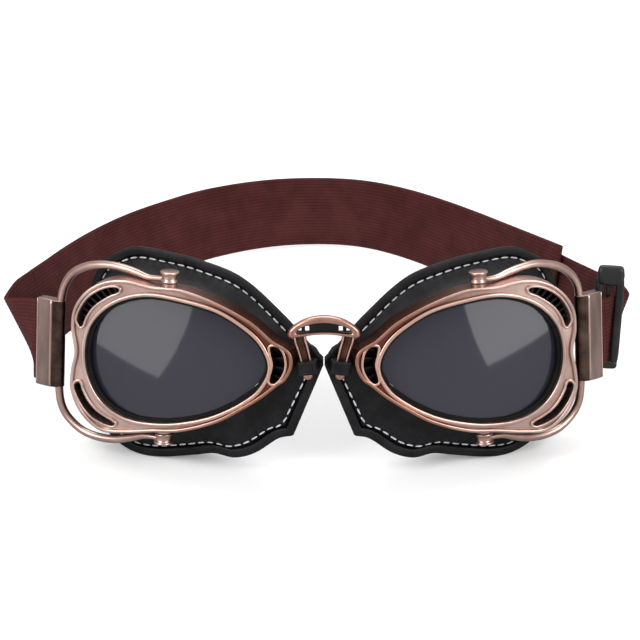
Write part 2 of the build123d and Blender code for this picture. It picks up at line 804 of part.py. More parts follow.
def make_slider(plane):
    """Three-bar slider: the band runs between its front bar and its two back rails."""
    middle = plate_middle(plane)
    place = middle.from_local_coords((plate_width + slider_place, 0, 0))
    seat = turned(Plane(place, plane.x_dir, plane.z_dir), plane.z_dir, -slider_lean)
    bar_length = slider_height - slider_end_height
    bar_offset = strap_thickness / 2 + slider_gap + slider_bar_depth / 2
    with BuildPart() as slider:
        for foot in (-slider_height / 2, slider_height / 2 - slider_end_height):
            end = Plane(seat.from_local_coords((0, foot, 0)), seat.x_dir, seat.y_dir)
            with BuildSketch(end):
                RectangleRounded(slider_width, slider_end_depth, slider_round)
            extrude(amount=slider_end_height)
        with Locations(seat):
            with Locations((0, 0, bar_offset)):
                Box(slider_bar_width, bar_length, slider_bar_depth)
            for side in (-1, 1):
                with Locations((side * (slider_width - slider_rail_width) / 2, 0,
                                -bar_offset)):
                    Box(slider_rail_width, bar_length, slider_bar_depth)
    return slider.part


def write(name, part):
    part.label = name
    export_step(part, f"parts/{name}.step")
    print(name, len(part.solids()), round(part.volume, 1), part.is_valid)


def write_pair(name, part):
    write("right_" + name, part)
    write("left_" + name, mirror(part, about=Plane.YZ))


left_yoke_plane = turned(hinge_plane, hinge_plane.y_dir, left_swing)
right_yoke_plane = turned(hinge_plane, hinge_plane.y_dir, right_swing)
plate_height_over_table = plate_middle(left_yoke_plane).origin.Z

write_pair("front_frame", make_front_frame())
write_pair("lens", make_lens())
write_pair("lens_gasket", make_gasket())
for vent in vent_shares:
    write_pair(f"{vent}_vent_grille", make_vent_grille(vent))
write_pair("eyecup_shell", make_eyecup_shell())
write_pair("leather_skirt", make_leather_skirt())
write_pair("rolled_edge", make_rolled_edge())
write_pair("face_cushion", make_face_cushion())
write_pair("bridge_keeper", make_bridge_keeper())
write("nose_bridge", make_nose_bridge())
write("nose_bridge_grille", make_bridge_grille())

for side, name, plane in ((1, "right", right_yoke_plane), (-1, "left", left_yoke_plane)):
    pieces = {
        "upper_post": make_post(plane, upper_foot, 1),
        "lower_post": make_post(plane, -lower_foot, -1),
        "yoke_wire": make_yoke_wire(plane),
        "strap_plate": make_strap_plate(plane),
    }
    for piece, part in pieces.items():
        write(f"{name}_{piece}", part if side > 0 else mirror(part, about=Plane.YZ))
write("strap_slider", make_slider(right_yoke_plane))

strap_near = near_rows(left_yoke_plane, -1, left_near_run)
strap_rows = (route_rows(left_route_shares, -1, plate_height_over_table)
              + route_rows([(0, 1, 0, back_flare)], 1, plate_height_over_table)
              + route_rows(right_route_shares, 1, plate_height_over_table))
strap_sections = band_sections(strap_near, strap_rows, strap_steps)
write("head_strap", make_band(strap_sections, strap_width))

strap_line = route_line(strap_near, strap_rows)
lap_rows = []
for share in (0, 0.5, 1):
    place = 1 - share * lap_length / strap_line.length
    section = band_section(strap_line @ place, strap_line % place, strap_rows[-1][1])
    aside = section.x_dir * (strap_thickness + lap_gap)
    lap_rows.append((section.origin + aside - section.y_dir * adjuster_drop, section.y_dir))
adjuster_rows = (route_rows(adjuster_route_shares, 1, plate_height_over_table) + lap_rows)
adjuster_near = near_rows(right_yoke_plane, 1, right_near_run)
adjuster_sections = band_sections(adjuster_near, adjuster_rows, adjuster_steps)
write("adjuster_strap", make_band(adjuster_sections, adjuster_width))
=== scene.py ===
"""Looks of the flying goggles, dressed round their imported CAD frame. Lengths are in millimetres
until a mesh is made, in the frame that the CAD uses: +Z up, lenses towards -Y."""

import bpy
import numpy as np
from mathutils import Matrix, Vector


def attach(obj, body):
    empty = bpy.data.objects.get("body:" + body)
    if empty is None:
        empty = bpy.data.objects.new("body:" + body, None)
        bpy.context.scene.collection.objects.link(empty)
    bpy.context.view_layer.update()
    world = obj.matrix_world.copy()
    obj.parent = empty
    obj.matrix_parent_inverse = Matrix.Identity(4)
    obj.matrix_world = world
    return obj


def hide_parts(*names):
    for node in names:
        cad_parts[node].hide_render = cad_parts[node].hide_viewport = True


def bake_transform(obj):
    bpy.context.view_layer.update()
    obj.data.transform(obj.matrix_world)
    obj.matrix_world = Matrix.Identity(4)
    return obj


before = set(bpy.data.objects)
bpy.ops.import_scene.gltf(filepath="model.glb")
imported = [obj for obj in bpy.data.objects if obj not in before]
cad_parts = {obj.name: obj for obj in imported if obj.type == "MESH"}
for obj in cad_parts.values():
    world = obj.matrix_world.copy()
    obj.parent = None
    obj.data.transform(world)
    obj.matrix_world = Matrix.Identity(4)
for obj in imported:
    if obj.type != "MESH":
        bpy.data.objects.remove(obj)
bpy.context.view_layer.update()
scene = bpy.context.scene
MM = 0.001

# Stance, as in the CAD source. Angles are in degrees.
LEAN, WRAP, PAD_TILT = 14.0, 14.0, 7.0
NOSE_HALF_GAP, FRONT_Y, FLAT_CUT = 10.0, -103.4, 0.5
FRAME_SIZE = np.array([90.0, 62.4])
LENS_SIZE = np.array([74.0, 51.2])
PAD_SIZE = np.array([100.0, 85.8])
FRAME_DEPTH, PAD_SET_BACK = 8.0, 9.6
ROLL_FRONT, ROLL_DEPTH, ROLL_WIDTH = 1.2, 4.2, 3.6
EDGE_FRONT, EDGE_THICK = 1.0, 2.1
HINGE_REACH, HINGE_DROP, HINGE_TILT, HINGE_SET_BACK = 53.5, 7.5, 3.5, 4.2
UPPER_FOOT, LOWER_FOOT = 32.8, 28.4
SWING = {"left": 11.0, "right": 17.0}
YOKE_REACH = 48.5
MIRROR = {"left": np.array([-1.0, 1, 1]), "right": np.array([1.0, 1, 1])}
STRAP_WIDTH, ADJUSTER_WIDTH, STRAP_THICK, RIB_PITCH, RIB_HEIGHT = 33.0, 28.0, 1.5, 1.5, 0.11

# Outlines in shares of their sizes: the casting's edge with the pad's edge beside it, the
# casting's nose tip, the lens, and the vents, which are shares of FRAME_SIZE.
EDGE_SHARES = np.array([
    (0.036, 0.032, -0.089, -0.03), (0.106, 0.091, -0.018, 0.042),
    (0.199, 0.199, 0.08, 0.154), (0.354, 0.308, 0.253, 0.308),
    (0.51, 0.377, 0.42, 0.369), (0.64, 0.385, 0.57, 0.396),
    (0.75, 0.412, 0.7, 0.406), (0.842, 0.399, 0.79, 0.367),
    (0.928, 0.333, 0.86, 0.303), (0.99, 0.216, 0.905, 0.186),
    (1.005, 0.08, 0.92, 0.047), (0.994, -0.064, 0.922, -0.093),
    (1.013, -0.185, 0.92, -0.198), (1.02, -0.314, 0.915, -0.315),
    (0.974, -0.473, 0.885, -0.443), (0.889, -0.572, 0.82, -0.536),
    (0.781, -0.577, 0.725, -0.589), (0.66, -0.556, 0.62, -0.594),
    (0.524, -0.537, 0.455, -0.559), (0.362, -0.46, 0.38, -0.541),
    (0.244, -0.361, 0.293, -0.549), (0.155, -0.272, 0.205, -0.513),
    (0.086, -0.186, 0.103, -0.427), (0.055, -0.152, 0.045, -0.406)])
NOSE_TIP_SHARE = (0.023, -0.052)
LENS_SHARES = np.array([
    (0.158, -0.059), (0.205, 0.084), (0.289, 0.191), (0.431, 0.303), (0.622, 0.367),
    (0.784, 0.391), (0.915, 0.357), (1.03, 0.27), (1.119, 0.123), (1.155, -0.078),
    (1.139, -0.289), (1.068, -0.469), (0.947, -0.578), (0.801, -0.607), (0.636, -0.584),
    (0.441, -0.498), (0.246, -0.324), (0.17, -0.176)])
VENT_SHARES = [
    [(0.966, 0.099), (0.979, 0.141), (0.964, 0.207), (0.933, 0.274), (0.893, 0.321),
     (0.841, 0.356), (0.799, 0.364), (0.782, 0.352), (0.793, 0.33), (0.821, 0.314),
     (0.869, 0.272), (0.909, 0.224), (0.94, 0.159), (0.955, 0.106)],
    [(0.98, -0.262), (1.003, -0.284), (0.996, -0.341), (0.973, -0.41),
     (0.94, -0.47), (0.897, -0.51), (0.839, -0.537), (0.822, -0.52),
     (0.861, -0.486), (0.907, -0.444), (0.943, -0.385), (0.968, -0.312)],
    [(0.116, 0.056), (0.076, 0.043), (0.057, -0.034), (0.064, -0.103),
     (0.1, -0.175), (0.122, -0.168), (0.107, -0.063), (0.117, 0.016)]]


def unit(v):
    v = np.asarray(v, float)
    return v / np.linalg.norm(v, axis=-1, keepdims=True)


def turn(v, axis, degrees):
    """Vector turned about an axis: v cos a + (k x v) sin a + k (k.v)(1 - cos a)."""
    k, a = unit(axis), np.radians(degrees)
    return v * np.cos(a) + np.cross(k, v) * np.sin(a) + k * np.dot(k, v) * (1 - np.cos(a))


class Plane:
    """A flat place with an origin and x, y, z directions, z towards the viewer."""

    def __init__(self, origin, x, z):
        self.o, self.x, self.z = np.asarray(origin, float), unit(x), unit(z)
        self.y = np.cross(self.z, self.x)

    def at(self, u, v, w=0.0):
        """World points: origin + u x + v y + w z, for arrays of any one shape."""
        u, v, w = np.broadcast_arrays(np.asarray(u, float), v, w)
        return self.o + u[..., None] * self.x + v[..., None] * self.y + w[..., None] * self.z

    def turned(self, axis, degrees):
        return Plane(self.o, turn(self.x, axis, degrees), turn(self.z, axis, degrees))


pad_points = EDGE_SHARES[:, 2:] * PAD_SIZE
lean, wrap = np.radians(LEAN), np.radians(WRAP)
pad_back = PAD_SET_BACK + pad_points[:, 0] * np.tan(np.radians(PAD_TILT)) + ROLL_DEPTH - ROLL_FRONT
pad_behind = pad_points[:, 0] * np.sin(wrap) + pad_back * np.cos(wrap)
NOSE_HEIGHT = -(pad_points[:, 1] * np.cos(lean) - pad_behind * np.sin(lean)).min() - FLAT_CUT
face = Plane((0, FRONT_Y, NOSE_HEIGHT), (1, 0, 0), (0, -np.cos(lean), np.sin(lean)))
nose = Plane(face.at(NOSE_HALF_GAP, 0), face.x, face.z)
cup = nose.turned(nose.y, WRAP)
pad = Plane(cup.at(0, 0, -PAD_SET_BACK), cup.x, cup.z).turned(cup.y, PAD_TILT)
hinge = Plane(cup.at(HINGE_REACH, -HINGE_DROP, -HINGE_SET_BACK), cup.x, cup.z)
hinge = hinge.turned(hinge.z, HINGE_TILT)
yokes = {side: hinge.turned(hinge.y, swing) for side, swing in SWING.items()}
BACK = np.array([0.0, 1.0, 0.0])


# Lines and sections.
def smooth_line(points, closed=True, per=12):
    """Cubic curves from point to point, each leaving along the line between its neighbours,
    with handles a third of the run: (1-t)^3 a + 3t(1-t)^2 b + 3t^2(1-t) c + t^3 d."""
    p = np.asarray(points, float)
    before, after = np.roll(p, 1, 0), np.roll(p, -1, 0)
    if not closed:
        before[0], after[-1] = p[0], p[-1]
    tangent = unit(after - before)
    a, d, ta, td = (p, after, tangent, np.roll(tangent, -1, 0)) if closed else (
        p[:-1], p[1:], tangent[:-1], tangent[1:])
    handle = np.linalg.norm(d - a, axis=1, keepdims=True) / 3
    b, c = a + ta * handle, d - td * handle
    t = (np.arange(per) / per)[None, :, None]
    run = ((1 - t) ** 3 * a[:, None] + 3 * t * (1 - t) ** 2 * b[:, None]
           + 3 * t ** 2 * (1 - t) * c[:, None] + t ** 3 * d[:, None]).reshape(-1, p.shape[1])
    return run if closed else np.vstack([run, p[-1:]])


def lengths_along(line):
    """Length of an open line from its start to each point."""
    return np.r_[0, np.cumsum(np.linalg.norm(np.diff(line, axis=0), axis=1))]


def even(line, count, closed=True):
    """The same line in steps of equal length."""
    ring = np.vstack([line, line[:1]]) if closed else line
    along = lengths_along(ring)
    marks = np.linspace(0, along[-1], count, endpoint=not closed)
    return np.stack([np.interp(marks, along, ring[:, k]) for k in range(ring.shape[1])], 1)


def outward(loop):
    """Normals of a flat closed loop, to its outside whichever way it runs."""
    d = np.roll(loop, -1, 0) - np.roll(loop, 1, 0)
    area = np.sum(loop[:, 0] * np.roll(loop[:, 1], -1) - np.roll(loop[:, 0], -1) * loop[:, 1])
    return unit(np.stack([d[:, 1], -d[:, 0]], 1)) * np.sign(area)


def moved(loop, amount, nearest=0.96):
    """A closed loop moved outwards: p + n amount, without the points that come nearer to the
    loop than 0.96 of the amount, then spread evenly from the point nearest to the old start."""
    if amount == 0:
        return loop
    shifted = loop + outward(loop) * amount
    gaps = np.linalg.norm(shifted[:, None] - loop[None], axis=2).min(1)
    kept = shifted[gaps > abs(amount) * nearest]
    start = np.argmin(np.linalg.norm(kept - loop[0], axis=1))
    return even(np.roll(kept, -start, 0), len(loop))


def oval(count, exponent=1.0):
    """Cosines and sines round a circle, raised to the exponent with their signs kept: a
    superellipse of power 2 / exponent."""
    a = np.linspace(0, 2 * np.pi, count, endpoint=False)
    return [np.sign(wave) * np.abs(wave) ** exponent for wave in (np.cos(a), np.sin(a))]


frame_loop = even(smooth_line(np.vstack([EDGE_SHARES[:, :2], NOSE_TIP_SHARE]) * FRAME_SIZE), 480)
lens_loop = even(smooth_line(LENS_SHARES * LENS_SIZE), 400)
vent_loops = [even(smooth_line(shares * FRAME_SIZE), 160) for shares in map(np.array, VENT_SHARES)]
pad_loop = even(smooth_line(pad_points, closed=False), 480)


# Meshes.
def grid_faces(rows, cols, ring):
    """Quads of a grid. Its columns close up, and its rows do too where it is a ring."""
    i, j = np.meshgrid(np.arange(rows if ring else rows - 1), np.arange(cols), indexing="ij")
    i2, j2 = (i + 1) % rows, (j + 1) % cols
    return np.stack([i * cols + j, i * cols + j2, i2 * cols + j2, i2 * cols + j], -1).reshape(-1, 4)


def linked(name, data):
    """A new object in the scene."""
    obj = bpy.data.objects.new(name, data)
    scene.collection.objects.link(obj)
    return obj


def piece(name, parts, body=None, material=None, side=None):
    """One object from grids (points, ring), faces outwards, riding on a body. A grid whose rows
    don't close up to a ring gets a cap at each end. A side is put before the names of the piece
    and of its body, and what is on the left is mirrored."""
    if side:
        name, body = f"{side}_{name}", f"{side}_{body}"
    verts, quads, caps, count = [], [], [], 0
    for points, ring in parts:
        rows, cols = points.shape[:2]
        flat = points.reshape(-1, 3) * MIRROR[side or "right"]
        faces = grid_faces(rows, cols, ring)
        ends = [] if ring else [list(range(cols))[::-1],
                                [(rows - 1) * cols + k for k in range(cols)]]
        tri = np.vstack([faces[:, [0, 1, 2]], faces[:, [0, 2, 3]]])
        c = flat - flat.mean(0)
        volume = np.einsum("ij,ij->i", c[tri[:, 0]], np.cross(c[tri[:, 1]], c[tri[:, 2]])).sum()
        if volume < 0:
            faces = faces[:, ::-1]
            ends = [end[::-1] for end in ends]
        verts.append(flat)
        quads.append(faces + count)
        caps += [[k + count for k in end] for end in ends]
        count += len(flat)
    mesh = bpy.data.meshes.new(name)
    mesh.from_pydata((np.vstack(verts) * MM).tolist(), [], np.vstack(quads).tolist() + caps)
    mesh.validate()
    mesh.polygons.foreach_set("use_smooth", np.ones(len(mesh.polygons), bool))
    obj = linked(name, mesh)
    if material:
        mesh.materials.append(material)
    if body:
        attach(obj, body)
    return obj


# Materials.
def nodes_of(mat):
    return mat.node_tree, mat.node_tree.nodes["Principled BSDF"]


def new_material(name):
    mat = bpy.data.materials.new(name)
    mat.use_nodes = True
    return mat, *nodes_of(mat)


def feed(node, **values):
    """Sets a node's inputs and properties in the order given: a socket is linked, any other
    value is put in. A _ in a key stands for a space in the name of an input."""
    for key, value in values.items():
        name = key.replace("_", " ")
        if name not in node.inputs:
            setattr(node, key, value)
        elif isinstance(value, bpy.types.NodeSocket):
            node.id_data.links.new(value, node.inputs[name])
        else:
            node.inputs[name].default_value = value
    return node


def add(tree, kind, **values):
    return feed(tree.nodes.new(kind), **values)


def make_grain():
    """Group: fine and coarse noise, mixed into one height, and a slow blotch mask."""
    group = bpy.data.node_groups.new("surface_grain", "ShaderNodeTree")
    sockets = group.interface
    sockets.new_socket("Vector", in_out="INPUT", socket_type="NodeSocketVector")
    for name in ("Fine scale", "Coarse scale", "Coarse share"):
        sockets.new_socket(name, in_out="INPUT", socket_type="NodeSocketFloat")
    for name in ("Height", "Blotch"):
        sockets.new_socket(name, in_out="OUTPUT", socket_type="NodeSocketFloat")
    given = group.nodes.new("NodeGroupInput").outputs
    fine = add(group, "ShaderNodeTexNoise", Detail=3.0, Roughness=0.55, Vector=given["Vector"],
               Scale=given["Fine scale"])
    coarse = add(group, "ShaderNodeTexNoise", Detail=4.0, Roughness=0.6, Vector=given["Vector"],
                 Scale=given["Coarse scale"])
    mix = add(group, "ShaderNodeMix", data_type="FLOAT", Factor=given["Coarse share"],
              A=fine.outputs[0], B=coarse.outputs[0])
    ramp = add(group, "ShaderNodeValToRGB")
    ramp.color_ramp.elements[0].position, ramp.color_ramp.elements[1].position = 0.36, 0.66
    group.links.new(coarse.outputs[0], ramp.inputs[0])
    feed(group.nodes.new("NodeGroupOutput"), Height=mix.outputs["Result"], Blotch=ramp.outputs[0])
    return group


GRAIN = make_grain()
# Roughness: its least value and its reach to both sides of the middle. Relief is in metres.
SMOOTHEST, SMOOTHER, ROUGHER, RELIEF = 0.03, 0.06, 0.08, 0.0004


def finish_material(name, dark, light, rough, metallic=0.0, fine=900.0, coarse=60.0, share=0.3,
                    bump=0.1, stretch=None, **sockets):
    """Colour between two tones by the blotch mask, roughness round a middle, grain as bump."""
    mat, tree, bsdf = new_material(name)
    vector = add(tree, "ShaderNodeTexCoord").outputs["Object"]
    if stretch:
        vector = add(tree, "ShaderNodeMapping", Scale=stretch, Vector=vector).outputs[0]
    grain = add(tree, "ShaderNodeGroup", node_tree=GRAIN, Fine_scale=fine, Coarse_scale=coarse,
                Coarse_share=share, Vector=vector)
    mix = add(tree, "ShaderNodeMix", data_type="RGBA", A=(*dark, 1), B=(*light, 1),
              Factor=grain.outputs["Blotch"])
    spread = add(tree, "ShaderNodeMapRange", Value=grain.outputs["Height"],
                 To_Min=max(rough - SMOOTHER, SMOOTHEST), To_Max=rough + ROUGHER)
    relief = add(tree, "ShaderNodeBump", Strength=bump, Distance=RELIEF,
                 Height=grain.outputs["Height"])
    feed(bsdf, Base_Color=mix.outputs["Result"], Roughness=spread.outputs[0],
         Normal=relief.outputs[0], Metallic=metallic, **sockets)
    return mat


def metal(name, dark, light, rough, **grain):
    return finish_material(name, dark, light, rough, metallic=1.0, **grain)


def painted_light_towards_nose(mat, tone, near=0.028, far=0.075):
    """Paints light or shade into a finish near the middle plane: on the casting and its outer edge
    a dark tone that is partly the dark oxide the cast channels keep and partly painted shade, on
    the rims a painted highlight. A smooth step of |x| from near to far, in metres, mixes the tone
    out."""
    tree, bsdf = nodes_of(mat)
    place = add(tree, "ShaderNodeTexCoord").outputs["Object"]
    split = add(tree, "ShaderNodeSeparateXYZ", Vector=place)
    away = add(tree, "ShaderNodeMath", operation="ABSOLUTE", Value=split.outputs["X"])
    step = add(tree, "ShaderNodeMapRange", interpolation_type="SMOOTHSTEP", From_Min=near,
               From_Max=far, Value=away.outputs[0])
    mix = add(tree, "ShaderNodeMix", data_type="RGBA", A=(*tone, 1), Factor=step.outputs[0],
              B=bsdf.inputs["Base Color"].links[0].from_socket)
    feed(bsdf, Base_Color=mix.outputs["Result"])


def webbing(mat, pitch, groove=0.56, groove_end=0.75, weave_pitch=0.6, weave_height=0.4):
    """Paints shade into the grooves between the lengthwise ribs: |sin(pi v / pitch)| of the band's
    own coordinate across its width. A finer weave, |sin| along the band, goes into the bump."""
    tree, bsdf = nodes_of(mat)
    colour = bsdf.inputs["Base Color"].links[0].from_socket
    relief = bsdf.inputs["Normal"].links[0].from_node
    split = add(tree, "ShaderNodeSeparateXYZ", Vector=add(tree, "ShaderNodeUVMap").outputs[0])

    def wave(axis, step):
        scaled = add(tree, "ShaderNodeMath", operation="MULTIPLY", Value=split.outputs[axis])
        scaled.inputs[1].default_value = np.pi / step
        sine = add(tree, "ShaderNodeMath", operation="SINE", Value=scaled.outputs[0])
        return add(tree, "ShaderNodeMath", operation="ABSOLUTE", Value=sine.outputs[0]).outputs[0]

    rib, weave = wave("Y", pitch), wave("X", pitch * weave_pitch)
    shade = add(tree, "ShaderNodeMapRange", From_Max=groove_end, To_Min=groove, Value=rib)
    shaded = add(tree, "ShaderNodeVectorMath", operation="SCALE", Vector=colour,
                 Scale=shade.outputs[0])
    height = add(tree, "ShaderNodeMath", operation="MULTIPLY_ADD", Value=weave)
    height.inputs[1].default_value = weave_height
    tree.links.new(relief.inputs["Height"].links[0].from_socket, height.inputs[2])
    feed(relief, Height=height.outputs[0])
    feed(bsdf, Base_Color=shaded.outputs[0])


# Finishes: darkest and lightest tone, roughness, then what differs from the usual grain.
cast_copper = metal("antique_copper_casting", (0.50, 0.335, 0.29), (0.76, 0.565, 0.505), 0.37,
                    fine=1500, coarse=40, share=0.35)
# Partly dark oxide kept in the cast channels, partly painted shade: the casting darkens towards the
# nose.
painted_light_towards_nose(cast_copper, (0.17, 0.065, 0.045))
edge_copper = metal("copper_outer_edge", (0.52, 0.35, 0.30), (0.74, 0.55, 0.49), 0.35,
                    fine=1200, coarse=50, bump=0.03)
# Partly dark oxide, partly painted shade: the outer edge darkens towards the nose.
painted_light_towards_nose(edge_copper, (0.42, 0.21, 0.155))
# Painted highlight: the beads round the lens opening and the vents, and those on the bridge legs,
# turn a bright copper towards the nose.
rim_copper = metal("worn_copper_rim", (0.54, 0.36, 0.31), (0.76, 0.565, 0.505), 0.33,
                   fine=1200, coarse=50, bump=0.03)
painted_light_towards_nose(rim_copper, (0.80, 0.50, 0.40))
bridge_copper = metal("antique_copper_bridge", (0.42, 0.21, 0.16), (0.66, 0.41, 0.33), 0.3,
                      fine=1500, coarse=90, share=0.35, bump=0.08)
# Partly dark oxide, partly painted shade: the near-black finish of the bridge's channelled legs.
channel_oxide_and_shade = metal("dark_channel_patina", (0.05, 0.022, 0.017), (0.17, 0.085, 0.065), 0.36,
               fine=1200, coarse=160, bump=0.05)
wire_copper = metal("copper_wire", (0.46, 0.30, 0.255), (0.68, 0.48, 0.42), 0.29,
                    coarse=50, bump=0.015)
worn_plate = metal("worn_brown_plate", (0.22, 0.15, 0.13), (0.44, 0.325, 0.295), 0.33,
                   coarse=70, bump=0.08, stretch=(1, 1, 0.08))
# Painted shade for the barrel in the plate's shadow.
barrel_shade_skin = metal("dark_plate_barrel", (0.035, 0.02, 0.017), (0.12, 0.075, 0.062), 0.34,
                   coarse=120, bump=0.08)
black_leather = finish_material(
    "black_leather", (0.0035, 0.0035, 0.0045), (0.011, 0.0105, 0.0125), 0.46, fine=1400,
    coarse=120, share=0.35, bump=0.6, Specular_IOR_Level=0.22)
black_plastic = finish_material(
    "black_comb_plastic", (0.003, 0.003, 0.0035), (0.007, 0.007, 0.008), 0.36, fine=1500,
    coarse=80, bump=0.05, Specular_IOR_Level=0.25)
black_rubber = finish_material(
    "black_gasket_rubber", (0.003, 0.003, 0.003), (0.006, 0.006, 0.0065), 0.5, fine=1500,
    coarse=80, bump=0.05, Specular_IOR_Level=0.2)
black_metal = finish_material(
    "black_slider_paint", (0.006, 0.006, 0.0065), (0.016, 0.016, 0.018), 0.33, fine=1300,
    coarse=90, bump=0.08, Specular_IOR_Level=0.4)
white_thread = finish_material(
    "white_thread", (0.46, 0.46, 0.48), (0.66, 0.66, 0.68), 0.6, fine=2600, coarse=400, bump=0.4)
maroon_thread = finish_material(
    "maroon_thread", (0.10, 0.03, 0.03), (0.16, 0.05, 0.05), 0.6, fine=2600, coarse=400,
    bump=0.4, Specular_IOR_Level=0.2)
elastic_web = finish_material(
    "maroon_elastic", (0.062, 0.0150, 0.0145), (0.088, 0.0225, 0.0215), 0.75, fine=2600,
    coarse=90, share=0.2, bump=0.7, Specular_IOR_Level=0.12)
webbing(elastic_web, RIB_PITCH)
smoked_lens = finish_material(
    "smoked_lens", (0.0225, 0.021, 0.0315), (0.025, 0.0235, 0.035), 0.07, fine=300, coarse=12,
    bump=0.0, Specular_IOR_Level=0.62)
# A polished lens has one roughness all over.
lens_tree, lens_bsdf = nodes_of(smoked_lens)
lens_tree.links.remove(lens_bsdf.inputs["Roughness"].links[0])
feed(lens_bsdf, Roughness=0.035)

# Looks of the CAD nodes, by their names without the side.
LOOKS = (
    (cast_copper, "front_frame"), (smoked_lens, "lens"), (black_rubber, "lens_gasket"),
    (black_plastic, "upper_vent_grille lower_vent_grille nose_vent_grille eyecup_shell"),
    (black_leather, "leather_skirt rolled_edge face_cushion bridge_keeper"),
    (wire_copper, "upper_post lower_post yoke_wire"), (worn_plate, "strap_plate"),
    (bridge_copper, "nose_bridge"), (black_plastic, "nose_bridge_grille"),
    (black_metal, "strap_slider"), (maroon_thread, "head_strap adjuster_strap"))
look_of = {kind: look for look, kinds in LOOKS for kind in kinds.split()}
for node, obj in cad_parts.items():
    obj.data.materials.clear()
    obj.data.materials.append(look_of[node.replace("left_", "").replace("right_", "")])


# Rims of the casting: inset from the edge, half width and half height of each bead.
RIM_POWER, RIM_SINK = 2.3, 0.1
OPENING_RIM, VENT_RIM, OUTER_RIM = (0.62, 0.78, 0.5), (0.45, 0.5, 0.36), (-0.55, 0.7, 0.5)


def rim(loop, inset, across, high):
    """Rounded bead along an edge of the casting: a superellipse carried round the moved edge."""
    line = moved(loop, inset)
    n = outward(line)
    aside = n[:, :1] * cup.x + n[:, 1:] * cup.y
    c, s = oval(12, 2 / RIM_POWER)
    return (cup.at(line[:, 0], line[:, 1], -RIM_SINK)[:, None]
            + c[:, None] * aside[:, None] * across + s[:, None] * cup.z * high), True


for side in MIRROR:
    rims = [rim(lens_loop, *OPENING_RIM)] + [rim(vent, *VENT_RIM) for vent in vent_loops]
    piece("opening_rims", rims, "cup", rim_copper, side)
    piece("outer_rim", [rim(frame_loop, *OUTER_RIM)], "cup", edge_copper, side)


# Leather cups. The skirt's inner edge is tucked under the casting, its outer edge laps under
# the turned edge; SEAM_AT is the share of its width at which the stitches pull it in.
SKIRT_TUCK, SKIRT_BEFORE_BACK, SKIRT_LAP, SKIRT_OVER_PAD = 0.9, 0.4, 0.2, 0.35
SKIRT_POWER, SKIRT_STEPS, LEATHER_THICK = 1.45, 14, 1.2
SWELL, SEAM_AT, PUCKER, PUCKER_COUNT, PUCKER_SPREAD = 0.5, 0.93, 0.28, 76, 0.1
HEM_DIP, HEM_SPREAD = 0.9, 0.07
TURNED_EDGE_SECTION = oval(18, 0.55)
TABLE_GAP, ROLL_GAP, CUSHION_GAP = 0.02, 0.2, 0.3


def skirt_rows():
    """Leather from the casting's edge out to the stitches and back behind itself: from the
    frame's outline it goes out by s^p and back by 1 - (1-s)^p, p being SKIRT_POWER, so that it
    clears the wires, with a little swell, puckers at the seam and a dip at the hem."""
    inner = cup.at(*moved(frame_loop, -SKIRT_TUCK).T, -FRAME_DEPTH + SKIRT_BEFORE_BACK)
    outer = pad.at(*moved(pad_loop, -ROLL_WIDTH + SKIRT_LAP).T, SKIRT_OVER_PAD)
    outer = np.roll(outer, -np.argmin(np.linalg.norm(outer - inner[0], axis=1)), 0)
    run = outer - inner
    deep = (run @ cup.z)[:, None] * cup.z
    flat = run - deep
    a = np.arange(len(inner)) / len(inner)
    steps = np.linspace(0, 1, SKIRT_STEPS)

    def leather(s):
        return inner + flat * s ** SKIRT_POWER + deep * (1 - (1 - s) ** SKIRT_POWER)

    def lift(s):
        pucker = (PUCKER * np.sin(2 * np.pi * PUCKER_COUNT * a)
                  * np.exp(-((s - SEAM_AT) / PUCKER_SPREAD) ** 2))
        swell = SWELL * np.sin(np.pi * s) + pucker - HEM_DIP * np.exp(-((s - 1) / HEM_SPREAD) ** 2)
        return swell[:, None] * cup.z

    return np.stack([leather(s) + lift(s) for s in steps]
                    + [leather(s) - LEATHER_THICK * cup.z for s in steps[::-1]])


def roll_rows():
    """Turned leather edge: a rounded box section (inset, depth) carried round the pad."""
    middle = EDGE_FRONT - EDGE_THICK / 2
    return np.stack([pad.at(*moved(pad_loop, -ROLL_WIDTH / 2 + ROLL_WIDTH / 2 * c).T,
                            middle + EDGE_THICK / 2 * s) for c, s in zip(*TURNED_EDGE_SECTION)])


def above_table(rows, middle_gap):
    """Soft leather pressed flat where it meets the table, and middle_gap from the middle plane,
    where it meets the other cup."""
    return np.stack([np.maximum(rows[..., 0], middle_gap), rows[..., 1],
                     np.maximum(rows[..., 2], TABLE_GAP)], -1)


def stitch(middle, ahead, aside, out, half_length, width, flatness=1.0):
    """Thread as a capsule of six sides, its radius falling by (1.02 - t^4)^0.5 to both ends."""
    t = np.linspace(-1, 1, 7)
    radius = np.sqrt(np.clip(1.02 - t ** 4, 0, 1)) * width
    c, s = oval(6)
    return (middle + t[:, None, None] * ahead * half_length
            + radius[:, None, None] * (c[:, None] * aside + s[:, None] * out * flatness)), False


def seam_stitches(path, out, length=3.1, pitch=4.25, width=0.34, flatness=0.8):
    """Stitches along a closed path."""
    total = np.linalg.norm(np.roll(path, -1, 0) - path, axis=1).sum()
    line = even(path, int(total / pitch))
    ahead = unit(np.roll(line, -1, 0) - np.roll(line, 1, 0))
    aside = unit(np.cross(ahead, out))
    return [stitch(line[k], ahead[k], aside[k], out, length / 2, width, flatness)
            for k in range(len(line))]


SEAM_ROW, SEAM_LIFT = 12, 0.25
skirt = skirt_rows()
roll = above_table(roll_rows(), ROLL_GAP)
seam = skirt[SEAM_ROW] + cup.z * SEAM_LIFT
for side in MIRROR:
    leather = piece("leather_panel", [(skirt, True)], "cup", black_leather, side)
    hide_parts(f"{side}_leather_skirt")
    edge = piece("turned_edge", [(roll, True)], "cup", black_leather, side)
    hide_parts(f"{side}_rolled_edge")
    piece("stitches", seam_stitches(seam, cup.z), "cup", white_thread, side)


